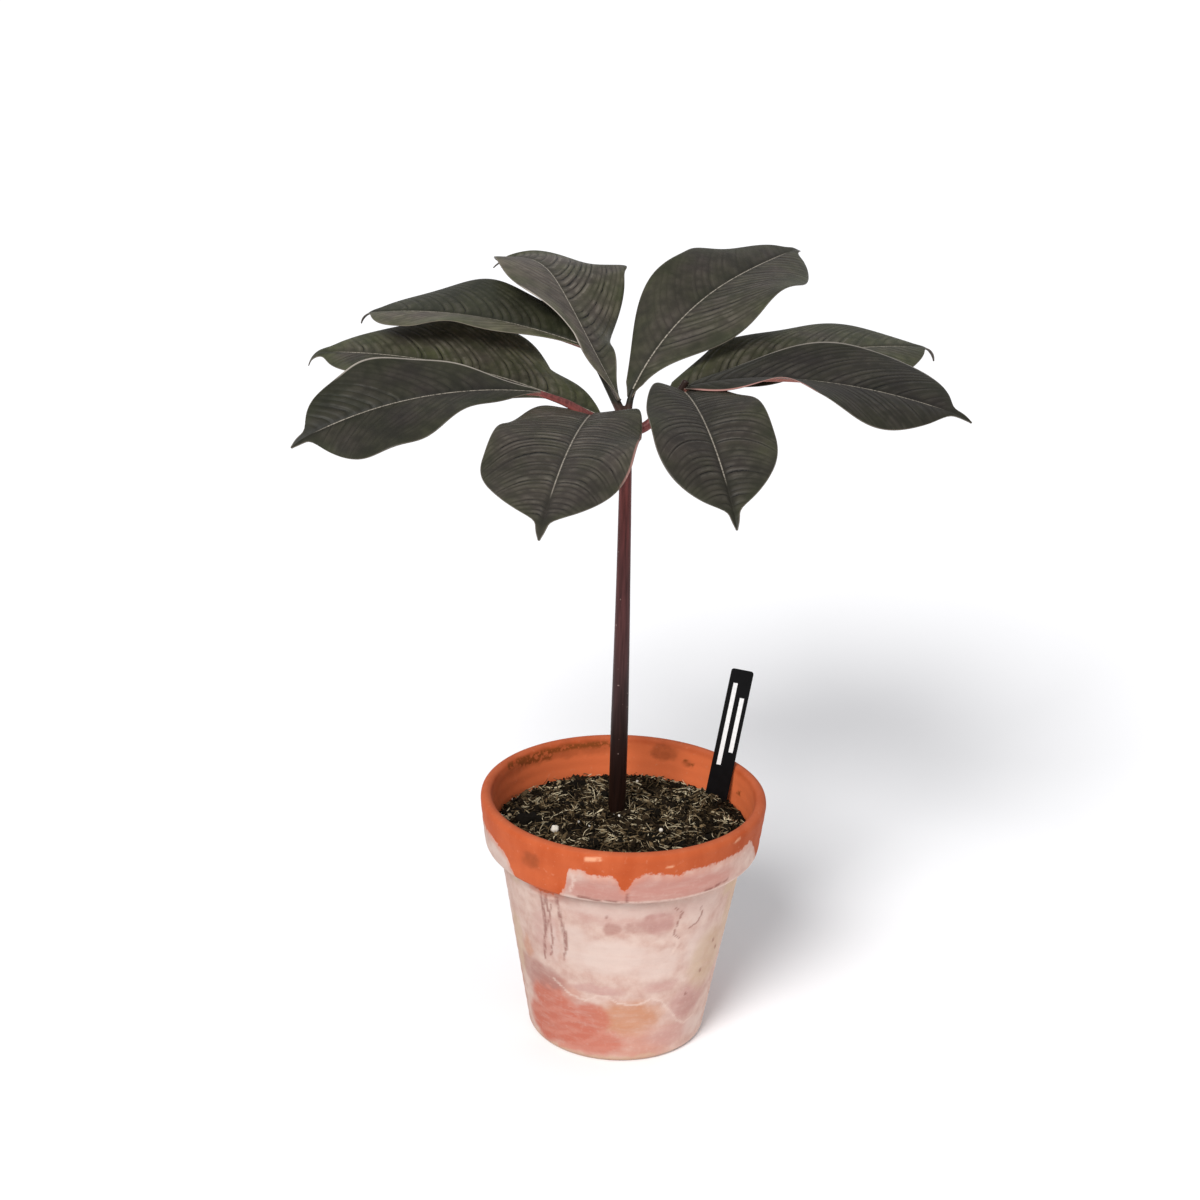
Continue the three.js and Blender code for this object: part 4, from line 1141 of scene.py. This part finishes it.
# Painted shade in the crease along the midrib
crease_shade = node("MapRange", (marks["from_rib"], 4.0, 0.6, 0, 0.4), interpolation_type="SMOOTHSTEP")
ground = node("MixRGB", (crease_shade, ground, tone(CREASE_PAINTED_SHADE)))
clouds = node("TexNoise", (place, 1 / (26 * MM), 1.0))
clouds = node("MapRange", (clouds, 0.32, 0.68, 0.8, 1.28))
# Each half's brightness: partly its own tone, partly painted light and shade, with slow clouds of tone
painted_light = node("Math", (clouds, marks["painted_light"]), operation="MULTIPLY")
ground = node("MixRGB", (1.0, ground, painted_light), blend_type="MULTIPLY")
rib_width = node("MapRange", (marks["along"], 0, 1, 0.38, 0.24))
rib_in = node("Math", (rib_width, marks["from_rib"]), operation="SUBTRACT")
rib_mark = node("MapRange", (rib_in, -0.15, 0.15, 0, 0.9))
rib_end = node("MapRange", (marks["rib_left"], 0.0, 0.07))
rib_mark = node("Math", (rib_mark, rib_end), operation="MULTIPLY")
rib_gaps = node("MapRange", (pores, 0.36, 0.56, 0.25))
rib_mark = node("Math", (rib_mark, rib_gaps), operation="MULTIPLY")
ground = node("MixRGB", (rib_mark, ground, tone(RIB_PALE)))
margin_mark = node("MapRange", (marks["from_margin"], 0.5, 0.15, 0, 0.5))
ground = node("MixRGB", (margin_mark, ground, tone(MARGIN_PALE)))
rim = node("MapRange", (marks["from_margin"], 1.2, 0.5))
for mark, shade in (("pale_edge", EDGE_PALE), ("rose_edge", EDGE_ROSE)):
    edge_mark = node("Math", (rim, marks[mark]), operation="MULTIPLY")
    ground = node("MixRGB", (edge_mark, ground, tone(shade)))
rose_reach = node("MapRange", (marks["from_rib"], 1.0, 10.0, 1.0, 0.0))
rose_end = node("MapRange", (marks["along"], 0.85, 0.5))
rose_reach = node("Math", (rose_reach, rose_end), operation="MULTIPLY")
rose_reach = node("Math", (rose_reach, marks["rose"]), operation="MULTIPLY")
pale = node("MixRGB", (rose_reach, tone(BACK_BROWN), tone(BACK_ROSE)))
node("MixRGB", (marks["underside"], ground, pale), into="Base Color")
raised = node("Math", (swell, groove), operation="SUBTRACT")
leaf_relief = node("Math", (pores, 0.2, raised), operation="MULTIPLY_ADD")
node("Bump", {"Height": leaf_relief, "Strength": 0.7, "Distance": 0.3 * MM}, into="Normal")
shader.inputs["Roughness"].default_value = 0.5
shader.inputs["IOR"].default_value = 1.4
shader.inputs["Specular IOR Level"].default_value = 0.28
shader.inputs["Sheen Weight"].default_value = 0.04
shader.inputs["Sheen Roughness"].default_value = 0.45
shader.inputs["Sheen Tint"].default_value = tone(VELVET)
for leaf in LEAFLETS:
    leaflet = blade_piece(leaf, blade_finish)
    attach(leaflet, "root")
    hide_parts("leaflet_" + leaf["name"])

# Plant label. A slim strip of black plastic with rounded top corners and a tapered foot, pushed into
# the mix near the wall and leaning back. Two white bars are printed on it.
LABEL_LENGTH = 98
LABEL_WIDTH = 12
LABEL_THICKNESS = 1.2
LABEL_POINT = 22
LABEL_FOOT = 4
LABEL_CORNER = 1.5
LABEL_BEVEL = 0.2
LABEL_AT_SOIL = (49.9, 30, 119)
LABEL_TOP = (61.7, 45, 186.6)
PRINT_BARS = [(-2.4, -7.5, 45), (2.6, -15, 30)]
PRINT_HEIGHT = 2.3
PRINT_THICKNESS = 0.05


def label_outline(inset):
    """Outline of the label, its top edge at height 0, drawn in by the inset."""
    half = LABEL_WIDTH / 2 - inset
    foot = LABEL_FOOT / 2 - inset
    marks = [(-foot, -LABEL_LENGTH + inset), (foot, -LABEL_LENGTH + inset)]
    marks.append((half, -LABEL_LENGTH + LABEL_POINT))
    for side in (1, -1):
        for k in range(9):
            turn_by = math.pi / 2 * (k / 8 if side > 0 else 1 + k / 8)
            reach = LABEL_CORNER - inset
            x = side * (LABEL_WIDTH / 2 - LABEL_CORNER) + reach * math.cos(turn_by)
            marks.append((x, -LABEL_CORNER + reach * math.sin(turn_by)))
    marks.append((-half, -LABEL_LENGTH + LABEL_POINT))
    return marks


def slab(levels):
    """Points and faces of a flat body from outlines at depths, back to front."""
    points = [(x, y, depth) for outline, depth in levels for x, y in outline]
    sides = len(levels[0][0])
    faces = ring_faces(len(levels), sides, False)
    faces.append(list(range(sides))[::-1])
    faces.append(list(range((len(levels) - 1) * sides, len(levels) * sides)))
    return np.array(points, float), faces


label_up = np.array(LABEL_TOP) - np.array(LABEL_AT_SOIL)
label_up = label_up / np.linalg.norm(label_up)
label_front = np.array((0.0, -1.0, 0.0))
label_front = label_front - label_front.dot(label_up) * label_up
label_front /= np.linalg.norm(label_front)
label_across = np.cross(label_up, label_front)
label_turn = np.stack([label_across, label_up, label_front])
face = LABEL_THICKNESS / 2
label_points, label_faces = slab([
    (label_outline(LABEL_BEVEL), -face), (label_outline(0), -face + LABEL_BEVEL),
    (label_outline(0), face - LABEL_BEVEL), (label_outline(LABEL_BEVEL), face)])

# Moulded polystyrene: black with a satin face, finely scuffed where it was handled.
label_finish, shader, node = new_finish("black_moulded_polystyrene")
place = node("TexCoord", output="Object")
scuffs = node("TexNoise", (place, 1 / (3 * MM), 5.0))
node("MixRGB", (scuffs, tone("#030303"), tone("#080709")), into="Base Color")
node("MapRange", (scuffs, 0, 1, 0.3, 0.55), into="Roughness")
shader.inputs["IOR"].default_value = 1.59
shader.inputs["Specular IOR Level"].default_value = 0.1
label = piece_of(
    "black_label", label_points @ label_turn + np.array(LABEL_TOP) + POT_AXIS, label_faces, label_finish)
label.data.shade_flat()

# White screen ink: opaque and dry, a thin film on the plastic.
ink_finish, shader, node = new_finish("white_screen_ink")
place = node("TexCoord", output="Object")
thin = node("TexNoise", (place, 1 / (1.5 * MM), 2.0))
node("MixRGB", (thin, tone("#d4d3d1"), tone("#f2f1ef")), into="Base Color")
shader.inputs["Roughness"].default_value = 0.6
bar_parts = []
for middle, top_end, length in PRINT_BARS:
    half = PRINT_HEIGHT / 2
    bar = [(middle - half, top_end - length), (middle + half, top_end - length), (middle + half, top_end),
           (middle - half, top_end)]
    bar_points, bar_faces = slab([(bar, face), (bar, face + PRINT_THICKNESS)])
    bar_parts.append((bar_points, bar_faces, 0.0))
bars_points, bars_faces, _ = gather(bar_parts)
bars = piece_of(
    "printed_bars", bars_points @ label_turn + np.array(LABEL_TOP) + POT_AXIS, bars_faces, ink_finish)
bars.data.shade_flat()
for part in (label, bars):
    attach(part, "root")
    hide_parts("plant_label")

bpy.context.view_layer.update()
